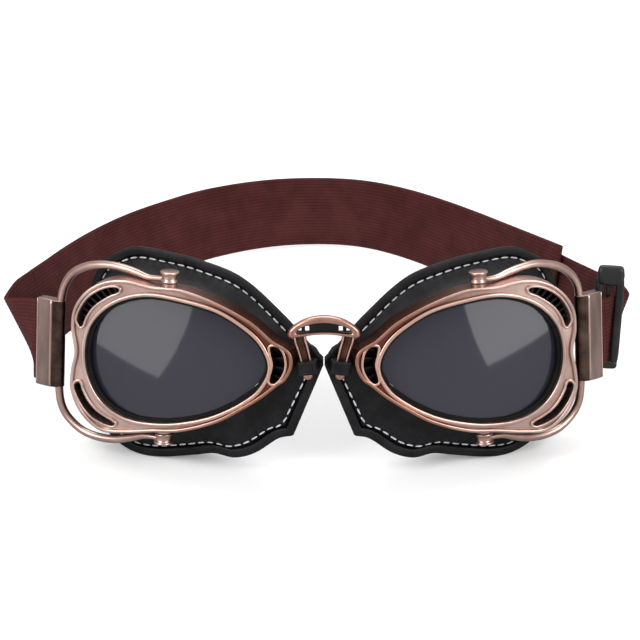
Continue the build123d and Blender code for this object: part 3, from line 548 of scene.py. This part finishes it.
# Face cushions. Section of the foam ring: inset from the pad's outline and depth behind the
# turned edge.
CUSHION_SECTION = np.array([
    (2.6, 0.0), (1.7, 1.6), (1.5, 3.6), (1.7, 6.0), (2.3, 8.6), (3.4, 11.0), (4.9, 12.8),
    (6.6, 13.4), (8.2, 12.7), (9.2, 10.8), (9.6, 8.0), (9.7, 5.0), (9.6, 2.0), (9.0, 0.2),
    (6.0, -0.2)])
cushion_section = even(smooth_line(CUSHION_SECTION, per=4), 30)
SEAT_GAP, SEAT_DEPTH = 0.15, 0.6
# Slope of the outer side where the outline's normal rises from RISE_FROM by RISE_OVER, and the
# inset at which it ends and before which it fades.
SLOPE, RISE_FROM, RISE_OVER, SLOPE_END, SLOPE_FADE, SMOOTHINGS = 0.5, 0.15, 0.5, 10.6, 8.0, 40
CLOTH_STEP, LARGEST_PUFF = 3, 0.8 * MM


def cushion_rows():
    """Foam ring: the section carried round the pad, its outer side sloping inwards along the
    top edge, where inset grows by SLOPE of the depth, and straight back everywhere else."""
    seat = EDGE_FRONT - EDGE_THICK + SEAT_GAP
    normal = outward(pad_loop)
    top = np.clip((normal[:, 1] - RISE_FROM) / RISE_OVER, 0, 1)
    top = top * top * (3 - 2 * top)
    for _ in range(SMOOTHINGS):
        top = (np.roll(top, 1) + top + np.roll(top, -1)) / 3
    rows = []
    for inset, depth in cushion_section:
        base = moved(pad_loop, -inset)
        near = np.argmin(np.linalg.norm(base[:, None] - pad_loop[None], axis=2), axis=1)
        share = np.clip((SLOPE_END - inset) / SLOPE_FADE, 0, 1) * SLOPE * max(depth, 0)
        place = base - outward(base) * (top[near] * share)[:, None]
        rows.append(pad.at(*place.T, seat) + BACK * depth)
    return np.stack(rows)


def puffed(obj, pinned, frames=14):
    """Foam under its leather: cloth with pressure, held at its seat, capped and applied."""
    before = np.array([v.co[:] for v in obj.data.vertices])
    group = obj.vertex_groups.new(name="seat")
    group.add([int(k) for k in pinned], 1.0, "REPLACE")
    cloth = obj.modifiers.new("cloth", "CLOTH")
    cloth.settings.vertex_group_mass = "seat"
    cloth.settings.use_pressure = True
    cloth.settings.uniform_pressure_force = 3.0
    cloth.settings.mass = 0.3
    cloth.settings.tension_stiffness = cloth.settings.compression_stiffness = 18.0
    cloth.settings.bending_stiffness = 1.5
    cloth.settings.effector_weights.gravity = 0.0
    for step in range(1, frames + 1):
        scene.frame_set(step)
    shape = obj.evaluated_get(bpy.context.evaluated_depsgraph_get())
    after = np.array([v.co[:] for v in shape.data.vertices])
    obj.modifiers.remove(cloth)
    obj.vertex_groups.remove(group)
    scene.frame_set(0)
    shift = after - before
    length = np.linalg.norm(shift, axis=1, keepdims=True)
    shift *= np.minimum(1, LARGEST_PUFF / np.maximum(length, 1e-9))
    return before + shift


cushion = cushion_rows()
# Every third column goes through the cloth; the columns between take a share of its shift.
coarse = cushion[:, ::CLOTH_STEP]
trial = piece("cushion_trial", [(coarse, True)])
held = np.nonzero(np.repeat(cushion_section[:, 1] < SEAT_DEPTH, coarse.shape[1]))[0]
shift = puffed(trial, held).reshape(coarse.shape) / MM - coarse
bpy.data.objects.remove(trial, do_unlink=True)
marks = np.arange(cushion.shape[1]) / CLOTH_STEP
low = marks.astype(int) % shift.shape[1]
part = (marks - marks.astype(int))[None, :, None]
cushion = cushion + shift[:, low] * (1 - part) + shift[:, (low + 1) % shift.shape[1]] * part
cushion = above_table(cushion, CUSHION_GAP)
for side in MIRROR:
    foam = piece("foam_cushion", [(cushion, True)], "cup", black_leather, side)
    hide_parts(f"{side}_face_cushion")


# Yokes: wires and posts. The two wires differ above and share their lower run.
LOWER_RUN = [(47.6, -24.4), (45.2, -29.4), (40.6, -33.4), (35.8, -35.6), (29.4, -36.5),
             (22.2, -35.9), (15.1, -33.8), (8.4, -31.6), (1.2, -31.1)]
WIRE_LINE = {
    "left": [(1.2, 33.9), (5.4, 33.4), (9.6, 33.1), (13.6, 33.9), (18.0, 34.6), (24.3, 35.0),
             (31.0, 34.4), (37.0, 32.7), (42.9, 29.1), (46.5, 23.8), (48.2, 17.2), (48.5, 8),
             (48.5, -4), (48.4, -16)] + LOWER_RUN,
    "right": [(1.2, 33.6), (5.0, 33.1), (9.0, 33.0), (14.0, 33.9), (20.0, 34.6), (26.5, 34.8),
              (32.8, 33.6), (39.4, 31.1), (44.8, 26.7), (47.8, 21.0), (48.5, 12), (48.5, 0),
              (48.4, -14)] + LOWER_RUN}
WIRE_END, WIRE_GROWTH, WIRE_TAPER = 0.95, 0.68, 18.0


def sideways(line):
    """Directions to the left of a flat open line."""
    d = unit(np.gradient(line, axis=0))
    return np.stack([-d[:, 1], d[:, 0]], 1)


def wire_rows(yoke, points):
    """Round wire along its line in the yoke's plane, drawn thinner towards both posts:
    radius WIRE_END + WIRE_GROWTH smoothstep(distance from the nearer end / WIRE_TAPER)."""
    line = even(smooth_line(points, closed=False, per=10), 200, closed=False)
    along = lengths_along(line)
    t = np.clip(np.minimum(along, along[-1] - along) / WIRE_TAPER, 0, 1)
    radius = (WIRE_END + WIRE_GROWTH * t * t * (3 - 2 * t))[:, None]
    aside = sideways(line)
    c, s = oval(20)
    return yoke.at(line[:, None, 0] + radius * c * aside[:, :1],
                   line[:, None, 1] + radius * c * aside[:, 1:], radius * s)


# Turned spool: (radius, height over the lug) from its pin to its flared head.
SPOOL = np.array([
    (1.2, -1.6), (1.28, -0.3), (2.7, -0.1), (3.35, 0.05), (3.5, 0.35), (3.45, 0.7), (3.15, 1.0),
    (3.0, 1.35), (2.95, 2.0), (3.0, 2.7), (3.15, 3.1), (3.5, 3.4), (3.75, 3.7), (3.8, 4.0),
    (3.65, 4.25), (3.1, 4.38), (1.9, 4.42), (0.3, 4.42)])


def spool_rows(yoke, foot, up):
    """The spool standing up or down on a post's foot in the yoke's plane."""
    c, s = oval(40)
    r, h = SPOOL.T[:, :, None]
    return yoke.at(r * c, foot + up * h, r * s)


for side, yoke in yokes.items():
    wire = piece("wire", [(wire_rows(yoke, WIRE_LINE[side]), False)], "yoke", wire_copper,
                 side)
    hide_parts(f"{side}_yoke_wire")
    for name, foot, up in (("upper", UPPER_FOOT, 1), ("lower", -LOWER_FOOT, -1)):
        spool = piece(f"{name}_spool", [(spool_rows(yoke, foot, up), False)], "yoke",
                      wire_copper, side)
        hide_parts(f"{side}_{name}_post")


# Strap plates: where their middles stand on the yokes, their section (u past the wire's
# line, w), and the shares of height and section that round off their ends.
PLATE_MIDDLE = {side: (UPPER_FOOT - LOWER_FOOT) / 2 - drop
                for side, drop in (("left", 3.2), ("right", 2.2))}
PLATE_HALF = 18.0
PLATE_SECTION = [(-1.9, -0.9), (-1.9, 0.3), (-1.2, 1.3), (0.6, 1.9), (2.5, 2.4), (3.3, 2.45),
                 (8.7, 2.2), (9.4, 1.95), (9.6, 1.3), (9.35, 0.75), (9.35, -0.75), (9.6, -1.3),
                 (9.4, -1.95), (8.7, -2.15), (3.3, -2.3), (0.6, -2.2), (-1.2, -1.8)]
PLATE_ENDS = [(0, 1), (0.5, 1), (0.97, 1), (0.985, 0.995), (0.994, 0.975), (1, 0.93)]
plate_ring = even(smooth_line(PLATE_SECTION, per=8), 96)
plate_centre = plate_ring.mean(0)


def both_ways(pairs):
    """Pairs from the middle outwards, with their mirror image before them."""
    return [(-a, b) for a, b in pairs[:0:-1]] + pairs


def up_the_plate(side, ring, reach=1.0):
    """A closed (u, w) section carried up the plate, rounded off at both ends."""
    rows = []
    for height, size in both_ways(PLATE_ENDS):
        loop = plate_centre + (ring - plate_centre) * size
        rows.append(yokes[side].at(YOKE_REACH + loop[:, 0],
                                   PLATE_MIDDLE[side] + height * PLATE_HALF * reach, loop[:, 1]))
    return np.stack(rows), False


# Painted shade: a dark skin over the barrel that the sheet forms round the wire, standing in for
# the plate's shadow on it. It is the section with u below and w above a bound, in order round (3.0,
# -0.4), lifted off and closed inside the sheet.
BARREL_BOUNDS, BARREL_LIFT, BARREL_INSIDE, BARREL_REACH = (2.4, -1.2), 0.06, 0.97, 0.99
barrel = plate_ring[(plate_ring[:, 0] < BARREL_BOUNDS[0]) & (plate_ring[:, 1] > BARREL_BOUNDS[1])]
barrel = barrel[np.argsort(np.arctan2(barrel[:, 1] + 0.4, barrel[:, 0] - 3.0))]
barrel_ring = np.vstack([barrel + BARREL_LIFT * unit(barrel - (2.2, -0.4)),
                         barrel[::-1] * BARREL_INSIDE])
# Painted highlight, beads in light copper along the sheet's front edges: (u, w, radius) of the two
# that run up the plate; from and to u, w, fall of w and radius of the one across each end; the
# share of the plate's half height that they reach.
RISING_BEADS = ((9.3, 1.78, 0.42), (2.95, 2.18, 0.5))
END_FROM, END_TO, END_W, END_FALL, END_RADIUS, BEAD_REACH = 3.0, 9.1, 2.0, 0.04, 0.34, 0.985


def plate_edges(side):
    """Painted highlight: light copper beads along the sheet's front edges."""
    yoke, middle, (c, s) = yokes[side], PLATE_MIDDLE[side], oval(10)
    height = np.linspace(-BEAD_REACH, BEAD_REACH, 24)[:, None] * PLATE_HALF
    beads = [yoke.at(YOKE_REACH + u + radius * c, middle + height, w + radius * s)
             for u, w, radius in RISING_BEADS]
    u = np.linspace(END_FROM, END_TO, 16)[:, None]
    w = END_W - END_FALL * (u - END_FROM) + END_RADIUS * s
    beads += [yoke.at(YOKE_REACH + u, middle + end * PLATE_HALF + END_RADIUS * c, w)
              for end in (-BEAD_REACH, BEAD_REACH)]
    return [(bead, False) for bead in beads]


for side in yokes:
    plate = piece("folded_plate", [up_the_plate(side, plate_ring)], "yoke", worn_plate,
                  side)
    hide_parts(f"{side}_strap_plate")
    piece("plate_barrel", [up_the_plate(side, barrel_ring, BARREL_REACH)], "yoke", barrel_shade_skin,
          side)
    piece("plate_edges", plate_edges(side), "yoke", edge_copper, side)


# Nose bridge and its keepers, on the plane of the face.
BRIDGE_FRONT, BRIDGE_DEPTH, BRIDGE_SWELL = -2.2, 3.4, 1.06
BRIDGE_MIDDLE = BRIDGE_FRONT - BRIDGE_DEPTH / 2


def crescent(half, middle, drop, thick, thin):
    """Crescent with round ends: a superellipse of power 3.2 whose middle line falls as
    m - d (x/a)^2 and whose half height falls from thick by the share thin to both ends."""
    c, s = oval(240, 2 / 3.2)
    return np.stack([half * c, middle - drop * c ** 2 + thick * (1 - thin * c ** 2) * s], 1)


def bridge_ring():
    """Cast ring between the outer and the inner crescent, round like a bead: a superellipse of
    exponent 0.85 at each place."""
    outer = crescent(half=13.7, middle=11.9, drop=3.7, thick=3.7, thin=0.2)
    inner = crescent(half=10.2, middle=10.95, drop=1.7, thick=1.5, thin=0.25)
    c, s = oval(20, 0.85)
    middle, reach = (outer + inner) / 2, (outer - inner) / 2
    flat = middle[:, None] + reach[:, None] * c[None, :, None]
    depth = BRIDGE_MIDDLE + BRIDGE_DEPTH / 2 * BRIDGE_SWELL * s
    return face.at(flat[..., 0], flat[..., 1], depth), True


LEG_LINE = [(9.3, 8.6), (9.0, 5.8), (7.8, 1.7), (6.75, -2.8), (6.15, -7.2)]
LEG_SECTION = both_ways([(0, 0.0), (0.42, 0.1), (0.55, 0.6), (0.7, 0.85), (0.9, 0.75), (1.02, 0.2),
                         (1, -0.9)]) + [(0, -1.0)]
LEG_WIDTHS, LEG_DEPTH = (2.3, 1.85), 1.15
# Its beads: share of the half width, height over the leg's middle, radius across and forwards.
LEG_BEAD_AT, LEG_BEAD_LIFT, LEG_BEAD_WIDE, LEG_BEAD_HIGH = 0.84, 0.6, 0.4, 0.5
# Its tip: middle, radius and half depth, and the angle left to the flat cap at each pole.
LEG_TIP, LEG_TIP_RADIUS, LEG_TIP_HIGH, LEG_TIP_CAP = (6.15, -8.0), 2.0, 1.25, 0.06


def leg_parts(sign):
    """Channelled leg on one side: its section swept down a curve, its two beads, and its tip,
    an ellipsoid."""
    line = even(smooth_line(LEG_LINE, closed=False), 40, closed=False)
    aside = sideways(line)
    width = np.linspace(*LEG_WIDTHS, len(line))[:, None]
    ring = even(smooth_line(LEG_SECTION, per=6), 56)
    c, s = oval(10)

    def swept(offset, depth):
        return face.at(sign * (line[:, None, 0] + offset * aside[:, :1]),
                       line[:, None, 1] + offset * aside[:, 1:], depth), False

    leg = swept(ring[:, 0] * width, BRIDGE_MIDDLE + ring[:, 1] * LEG_DEPTH)
    beads = [swept(edge * width + LEG_BEAD_WIDE * c,
                   BRIDGE_MIDDLE + LEG_BEAD_LIFT + LEG_BEAD_HIGH * s)
             for edge in (-LEG_BEAD_AT, LEG_BEAD_AT)]
    t = np.linspace(LEG_TIP_CAP, np.pi - LEG_TIP_CAP, 12)[:, None]
    tip = face.at(sign * LEG_TIP[0] + LEG_TIP_RADIUS * np.sin(t) * c,
                  LEG_TIP[1] + LEG_TIP_RADIUS * np.cos(t),
                  BRIDGE_MIDDLE + LEG_TIP_HIGH * np.sin(t) * s), False
    return leg, beads, tip


channels, beads, tips = zip(*map(leg_parts, (-1, 1)))
arch = piece("bridge_casting", [bridge_ring(), *tips], "bridge_and_strap", bridge_copper)
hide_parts("nose_bridge")
piece("bridge_leg_channels", channels, "bridge_and_strap", channel_oxide_and_shade)
# Painted highlight: these beads lie near the middle plane and take the rims' bright tone in full.
piece("bridge_leg_rims", beads[0] + beads[1], "bridge_and_strap", rim_copper)

# Leather loop round a leg: its middle and run on the plane of the face, its half width, half
# depth and half height, and the shares of height and section of its rows.
KEEPER_AT, KEEPER_RUN, KEEPER_HALF = (6.3, -4.8), (2.8, 16.0), (4.2, 2.7, 2.7)
KEEPER_HEMS = [(0, 0.95), (0.6, 0.985), (0.86, 1), (0.96, 0.93), (1, 0.80)]


def keeper_rows():
    """A superellipse of power 3.4 up the leg, pinched a little at both hems."""
    c, s = oval(48, 2 / 3.4)
    wide, thick, high = KEEPER_HALF
    up = unit(face.x * KEEPER_RUN[0] + face.y * KEEPER_RUN[1])
    across = unit(cup.x - up * np.dot(cup.x, up))
    out = np.cross(across, up)
    middle = face.at(*KEEPER_AT, BRIDGE_MIDDLE)
    return np.stack([middle + up * height * high + across * (c * wide * size)[:, None]
                     + out * (s * thick * size)[:, None]
                     for height, size in both_ways(KEEPER_HEMS)])


for side in MIRROR:
    keeper = piece("leather_keeper", [(keeper_rows(), False)], "cup", black_leather,
                   side)
    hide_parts(f"{side}_bridge_keeper")


# Elastic straps.
# Rows of a band: top edge of the web (x, y, z) and the outward lean of its width in degrees.
STRAP_ROWS = np.array([
    (-127.4, -54.5, 55.6, 20.0), (-126.6, -46.0, 55.9, 20.0), (-123.6, -34.0, 54.0, 19.5),
    (-117.8, -16.0, 51.2, 19.0), (-110.5, 4.0, 48.6, 18.5), (-101.0, 24.0, 46.2, 18.0),
    (-89.0, 43.0, 44.0, 17.5), (-73.0, 62.0, 41.6, 17.0), (-54.5, 79.5, 39.2, 15.0),
    (-27.5, 95.5, 36.2, 12.5), (-1.5, 100.4, 35.0, 11.0), (20.0, 96.2, 35.6, 11.5),
    (40.5, 82.0, 37.8, 13.5), (61.5, 59.5, 41.0, 15.5), (85.5, 27.0, 45.6, 17.5),
    (104.6, -1.5, 50.0, 18.0)])
ADJUSTER_ROWS = np.array([
    (121.8, -37.5, 52.4, 19.5), (115.4, -21.0, 48.4, 18.5), (106.8, -2.0, 44.6, 18.0),
    (97.6, 13.5, 43.4, 18.0)])
# Near runs on the yoke's plane: (u, w, lean of the width direction in degrees).
NEAR_RUNS = {
    "left": [(51.1, 0, 0), (54.5, 0, 0), (57.9, 0, 3), (60.7, 0, 7)],
    "right": [(51.1, 0, 0), (54.5, 0, 0), (57.9, 0, 3), (61.0, -0.3, 7), (64.5, -1.3, 13),
              (67.8, -2.0, 19), (70.6, -4.0, 22)]}
LOOP_MIDDLE_Y = FRONT_Y + 92
# Each band is made in two runs, split where its top edge passes this y.
STRAP_SPLIT_Y, ADJUSTER_SPLIT_Y = -34.0, -36.0
SELVEDGE_POWER, SELVEDGE_SHARE = 40, 0.25


def band_path(rows, width, side):
    """Middle line and width direction: top edge - r width/2, where r leans outwards from the
    loop's middle by the row's degrees. The near run of the side comes first."""
    top, flare = rows[:, :3], np.radians(rows[:, 3])[:, None]
    away = top - np.array([0, LOOP_MIDDLE_Y, 0])
    away[:, 2] = 0
    ruling = unit(away) * np.sin(flare) + np.array([0, 0, 1.0]) * np.cos(flare)
    return np.vstack([near_band(side), np.hstack([top - ruling * width / 2, ruling])])


def near_band(side):
    """Rows of the run inside the plate and past it, on the yoke's own plane."""
    yoke, flip = yokes[side], MIRROR[side]
    return [np.r_[yoke.at(u, PLATE_MIDDLE[side], w) * flip,
                  (yoke.y * np.cos(np.radians(tilt)) + yoke.x * np.sin(np.radians(tilt))) * flip]
            for u, w, tilt in NEAR_RUNS[side]]


def band_rows(rows, width, side, step=1.5, half_count=112):
    """Ribbed web: width across, ribs of height 0.11 |sin(pi v / pitch)| on both faces, and a
    rounded selvedge; the section follows the path's middle line and width direction. Gives
    the grid of points and the band's own (along, across) coordinates."""
    line = smooth_line(band_path(rows, width, side), closed=False, per=16)
    along = lengths_along(line[:, :3])
    marks = np.linspace(0, along[-1], int(along[-1] / step))
    line = np.stack([np.interp(marks, along, line[:, k]) for k in range(6)], 1)
    middle, ahead = line[:, :3], unit(np.gradient(line[:, :3], axis=0))
    ruling = unit(line[:, 3:] - ahead * np.sum(line[:, 3:] * ahead, 1, keepdims=True))
    out = np.cross(ahead, ruling)
    v = np.linspace(-1, 1, half_count)
    selvedge = np.sqrt(np.clip(1 - np.abs(v) ** SELVEDGE_POWER, 0.0, 1))
    rib = RIB_HEIGHT * np.abs(np.sin(np.pi * v * width / 2 / RIB_PITCH))
    half = (STRAP_THICK / 2 - RIB_HEIGHT + rib) * np.maximum(selvedge, SELVEDGE_SHARE)
    across = np.r_[v, v[::-1]] * width / 2
    depth = np.r_[half, -half[::-1]]
    points = (middle[:, None] + ruling[:, None] * across[None, :, None]
              + out[:, None] * depth[None, :, None])
    own = np.stack(np.broadcast_arrays(marks[:, None], across[None, :]), -1)
    return points, own


def band_piece(name, points, own):
    """A run of a band, with its own coordinates as texture coordinates."""
    obj = piece(name, [(points, False)], None, elastic_web)
    chart = obj.data.uv_layers.new(name="band")
    corner = np.empty(len(obj.data.loops), np.int32)
    obj.data.loops.foreach_get("vertex_index", corner)
    chart.data.foreach_set("uv", own.reshape(-1, 2)[corner].ravel())
    return obj


strap, strap_own = band_rows(STRAP_ROWS, STRAP_WIDTH, "left")
right_half = strap[:, 0, 0] > 0
split_at = np.argmin(np.abs(strap[:, 0, 1] - STRAP_SPLIT_Y) + 1000 * right_half)
near_strap = band_piece("strap_left_end", strap[:split_at + 1], strap_own[:split_at + 1])
far_strap = band_piece("strap_round_head", strap[split_at:], strap_own[split_at:])
adjuster, adjuster_own = band_rows(ADJUSTER_ROWS, ADJUSTER_WIDTH, "right")
turn_at = np.argmin(np.abs(adjuster[:, 0, 1] - ADJUSTER_SPLIT_Y))
near_adjuster = band_piece("adjuster_right_end", adjuster[:turn_at + 1],
                           adjuster_own[:turn_at + 1])
far_adjuster = band_piece("adjuster_sewn_end", adjuster[turn_at:], adjuster_own[turn_at:])

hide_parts("head_strap")
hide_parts("adjuster_strap")
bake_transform(near_strap)
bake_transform(far_strap)
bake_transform(near_adjuster)
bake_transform(far_adjuster)


# Slider: its ends on the yoke's plane, its turn about their line, its depth under the plane. Its
# bars: start and end (along, sideways, depth), way of the width, half width, half thickness.
SLIDER_LOW, SLIDER_HIGH = np.array([60.9, -15.5]), np.array([66.2, 26.5])
SLIDER_TURN, SLIDER_SINK, BAR_TIP = -35.0, 1.6, 0.1
SLIDER_LENGTH = np.linalg.norm(SLIDER_HIGH - SLIDER_LOW)
SLIDER_BARS = [
    ((0.6, 4.2, 0), (SLIDER_LENGTH - 3.0, 4.2, 0), "across", 1.75, 1.35),
    ((0.6, -4.2, 0), (SLIDER_LENGTH - 3.0, -4.2, 0), "across", 1.75, 1.35),
    ((1.4, -0.4, -1.5), (SLIDER_LENGTH - 4.0, -0.4, -1.5), "across", 0.9, 0.7),
    ((1.4, -5.6, 0), (1.4, 5.6, 0), "up", 1.7, 1.4),
    ((SLIDER_LENGTH - 4.2, -5.3, 0), (SLIDER_LENGTH - 4.2, 5.7, 0), "up", 4.1, 2.2)]


def slider_parts(yoke):
    """Three-bar slider leaning with the band: superellipse bars along its length, a thin cross
    bar below and a rounded block above, all in a plane tilted to the yoke's. Each bar rounds
    off to the share BAR_TIP at both ends."""
    rise = SLIDER_HIGH - SLIDER_LOW
    up = unit(yoke.x * rise[0] + yoke.y * rise[1])
    across = turn(np.cross(up, yoke.z), up, SLIDER_TURN)
    out = np.cross(across, up)
    origin = yoke.at(*SLIDER_LOW, -SLIDER_SINK)
    c, s = oval(24, 0.7)
    parts = []
    for *ends, direction, wide, thick in SLIDER_BARS:
        start, end = (origin + up * a + across * b + out * d for a, b, d in ends)
        aside = across if direction == "across" else up
        rows = []
        for t in np.linspace(-1, 1, 25):
            size = (1 - np.abs(t) ** 8) ** 0.5 * (1 - BAR_TIP) + BAR_TIP
            rows.append((start + end) / 2 + (end - start) / 2 * t
                        + aside * (c * wide * size)[:, None] + out * (s * thick * size)[:, None])
        parts.append((np.stack(rows), False))
    return parts


slider = piece("rounded_slider", slider_parts(yokes["right"]), "slider", black_metal)
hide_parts("strap_slider")


# Seam of the adjuster: rows counted from the band's sewn end, reach over its width, and the
# lift, half length and radius of its thread.
SEAM_ROWS, SEAM_REACH = (-4, -9), (0.03, 0.97)
THREAD_LIFT, THREAD_HALF, THREAD_RADIUS = 0.12, 0.95, 0.26


def band_stitches(points):
    """Stitches across the band's outer face, with gaps of their own length between them."""
    stitches, half = [], points.shape[1] // 2
    for row in SEAM_ROWS:
        low, high = points[row, 2], points[row, half - 3]
        normal = unit(points[row, half // 2] - points[row, -half // 2])
        line = low + (high - low) * np.linspace(*SEAM_REACH, 13)[:, None] + normal * THREAD_LIFT
        for start, end in zip(line[:-1:2], line[1::2]):
            ahead = unit(end - start)
            stitches.append(stitch((start + end) / 2, ahead, np.cross(ahead, normal), normal,
                                   THREAD_HALF, THREAD_RADIUS))
    return stitches


piece("adjuster_seam", band_stitches(adjuster), "bridge_and_strap", maroon_thread)

# Camera: 30 degrees above the goggles, 2.67 pixels per mm at its target in a 640 pixel image.
TARGET = np.array([-1.5, FRONT_Y + 3.6, NOSE_HEIGHT + 14.4])
DISTANCE, RISE = 700.0, np.radians(30)
camera = linked("camera", bpy.data.cameras.new("camera"))
camera.data.sensor_width = 36.0
camera.data.lens = 105.1
camera.location = (TARGET + DISTANCE * np.array([0, -np.cos(RISE), np.sin(RISE)])) * MM
camera.rotation_euler = (np.pi / 2 - RISE, 0, 0)
scene.camera = camera


# Lights, in metres and watts.
def area_light(name, place, size, power):
    """A rectangular lamp that shines down, (width, height) in size."""
    lamp = bpy.data.lights.new(name, "AREA")
    lamp.shape, lamp.energy = "RECTANGLE", power
    lamp.size, lamp.size_y = size
    obj = linked(name, lamp)
    obj.location = place
    return obj


for name, place, aim_y, size, power in (
        ("key_left", (-0.75, -0.65, 0.75), -0.05, (0.5, 0.7), 7.5),
        ("key_right", (0.8, -0.6, 0.7), -0.05, (0.5, 0.7), 6.5),
        ("top_back", (0.0, 0.35, 0.95), -0.02, (0.9, 0.5), 6.0)):
    ahead = Vector((0, aim_y, 0.04)) - Vector(place)
    lamp = area_light(name, place, size, power)
    lamp.rotation_euler = ahead.to_track_quat("-Z", "Y").to_euler()
# Glowing panels on the table in front of each lens: their near corners and edges are the
# borders of the lit part that each lens mirrors. Radiance, power / (pi area): 1.7 and 2.2.
PANEL_SIZE, PANEL_HEIGHT = (0.5, 0.9), 0.002
for side, corner, along, power in (("left", (-0.268, -0.384), (-0.41, -0.912), 2.4),
                                   ("right", (0.306, -0.44), (0.448, -0.894), 3.1)):
    along = np.array(along)
    wide = np.array([-along[1], along[0]]) * MIRROR[side][0]
    centre = corner + along * PANEL_SIZE[1] / 2 + wide * PANEL_SIZE[0] / 2
    panel = area_light(f"panel_{side}", (*centre, PANEL_HEIGHT), PANEL_SIZE, power)
    panel.rotation_euler = (np.pi, 0, np.arctan2(along[1], along[0]) - np.pi / 2)

# Pale floor: it fades into the white background for the camera and is darker in reflections.
floor = bpy.data.meshes.new("floor")
floor.from_pydata([(-4, -4, 0), (4, -4, 0), (4, 4, 0), (-4, 4, 0)], [], [(0, 1, 2, 3)])
floor_obj = linked("floor", floor)
floor_mat, tree, floor_bsdf = new_material("pale_floor")
path = add(tree, "ShaderNodeLightPath")
tone = add(tree, "ShaderNodeMix", data_type="RGBA", A=(0.88, 0.88, 0.88, 1),
           B=(0.40, 0.40, 0.40, 1), Factor=path.outputs["Is Glossy Ray"])
glow = add(tree, "ShaderNodeMath", operation="MULTIPLY", Value=path.outputs["Is Camera Ray"])
glow.inputs[1].default_value = 0.16
feed(floor_bsdf, Roughness=0.85, Specular_IOR_Level=0.0, Emission_Color=(1, 1, 1, 1),
     Base_Color=tone.outputs["Result"], Emission_Strength=glow.outputs[0])
floor.materials.append(floor_mat)

world = bpy.data.worlds.new("studio")
scene.world = world
world.use_nodes = True
feed(world.node_tree.nodes["Background"], Color=(1, 1, 1, 1), Strength=0.55)
scene.view_settings.view_transform = "Standard"
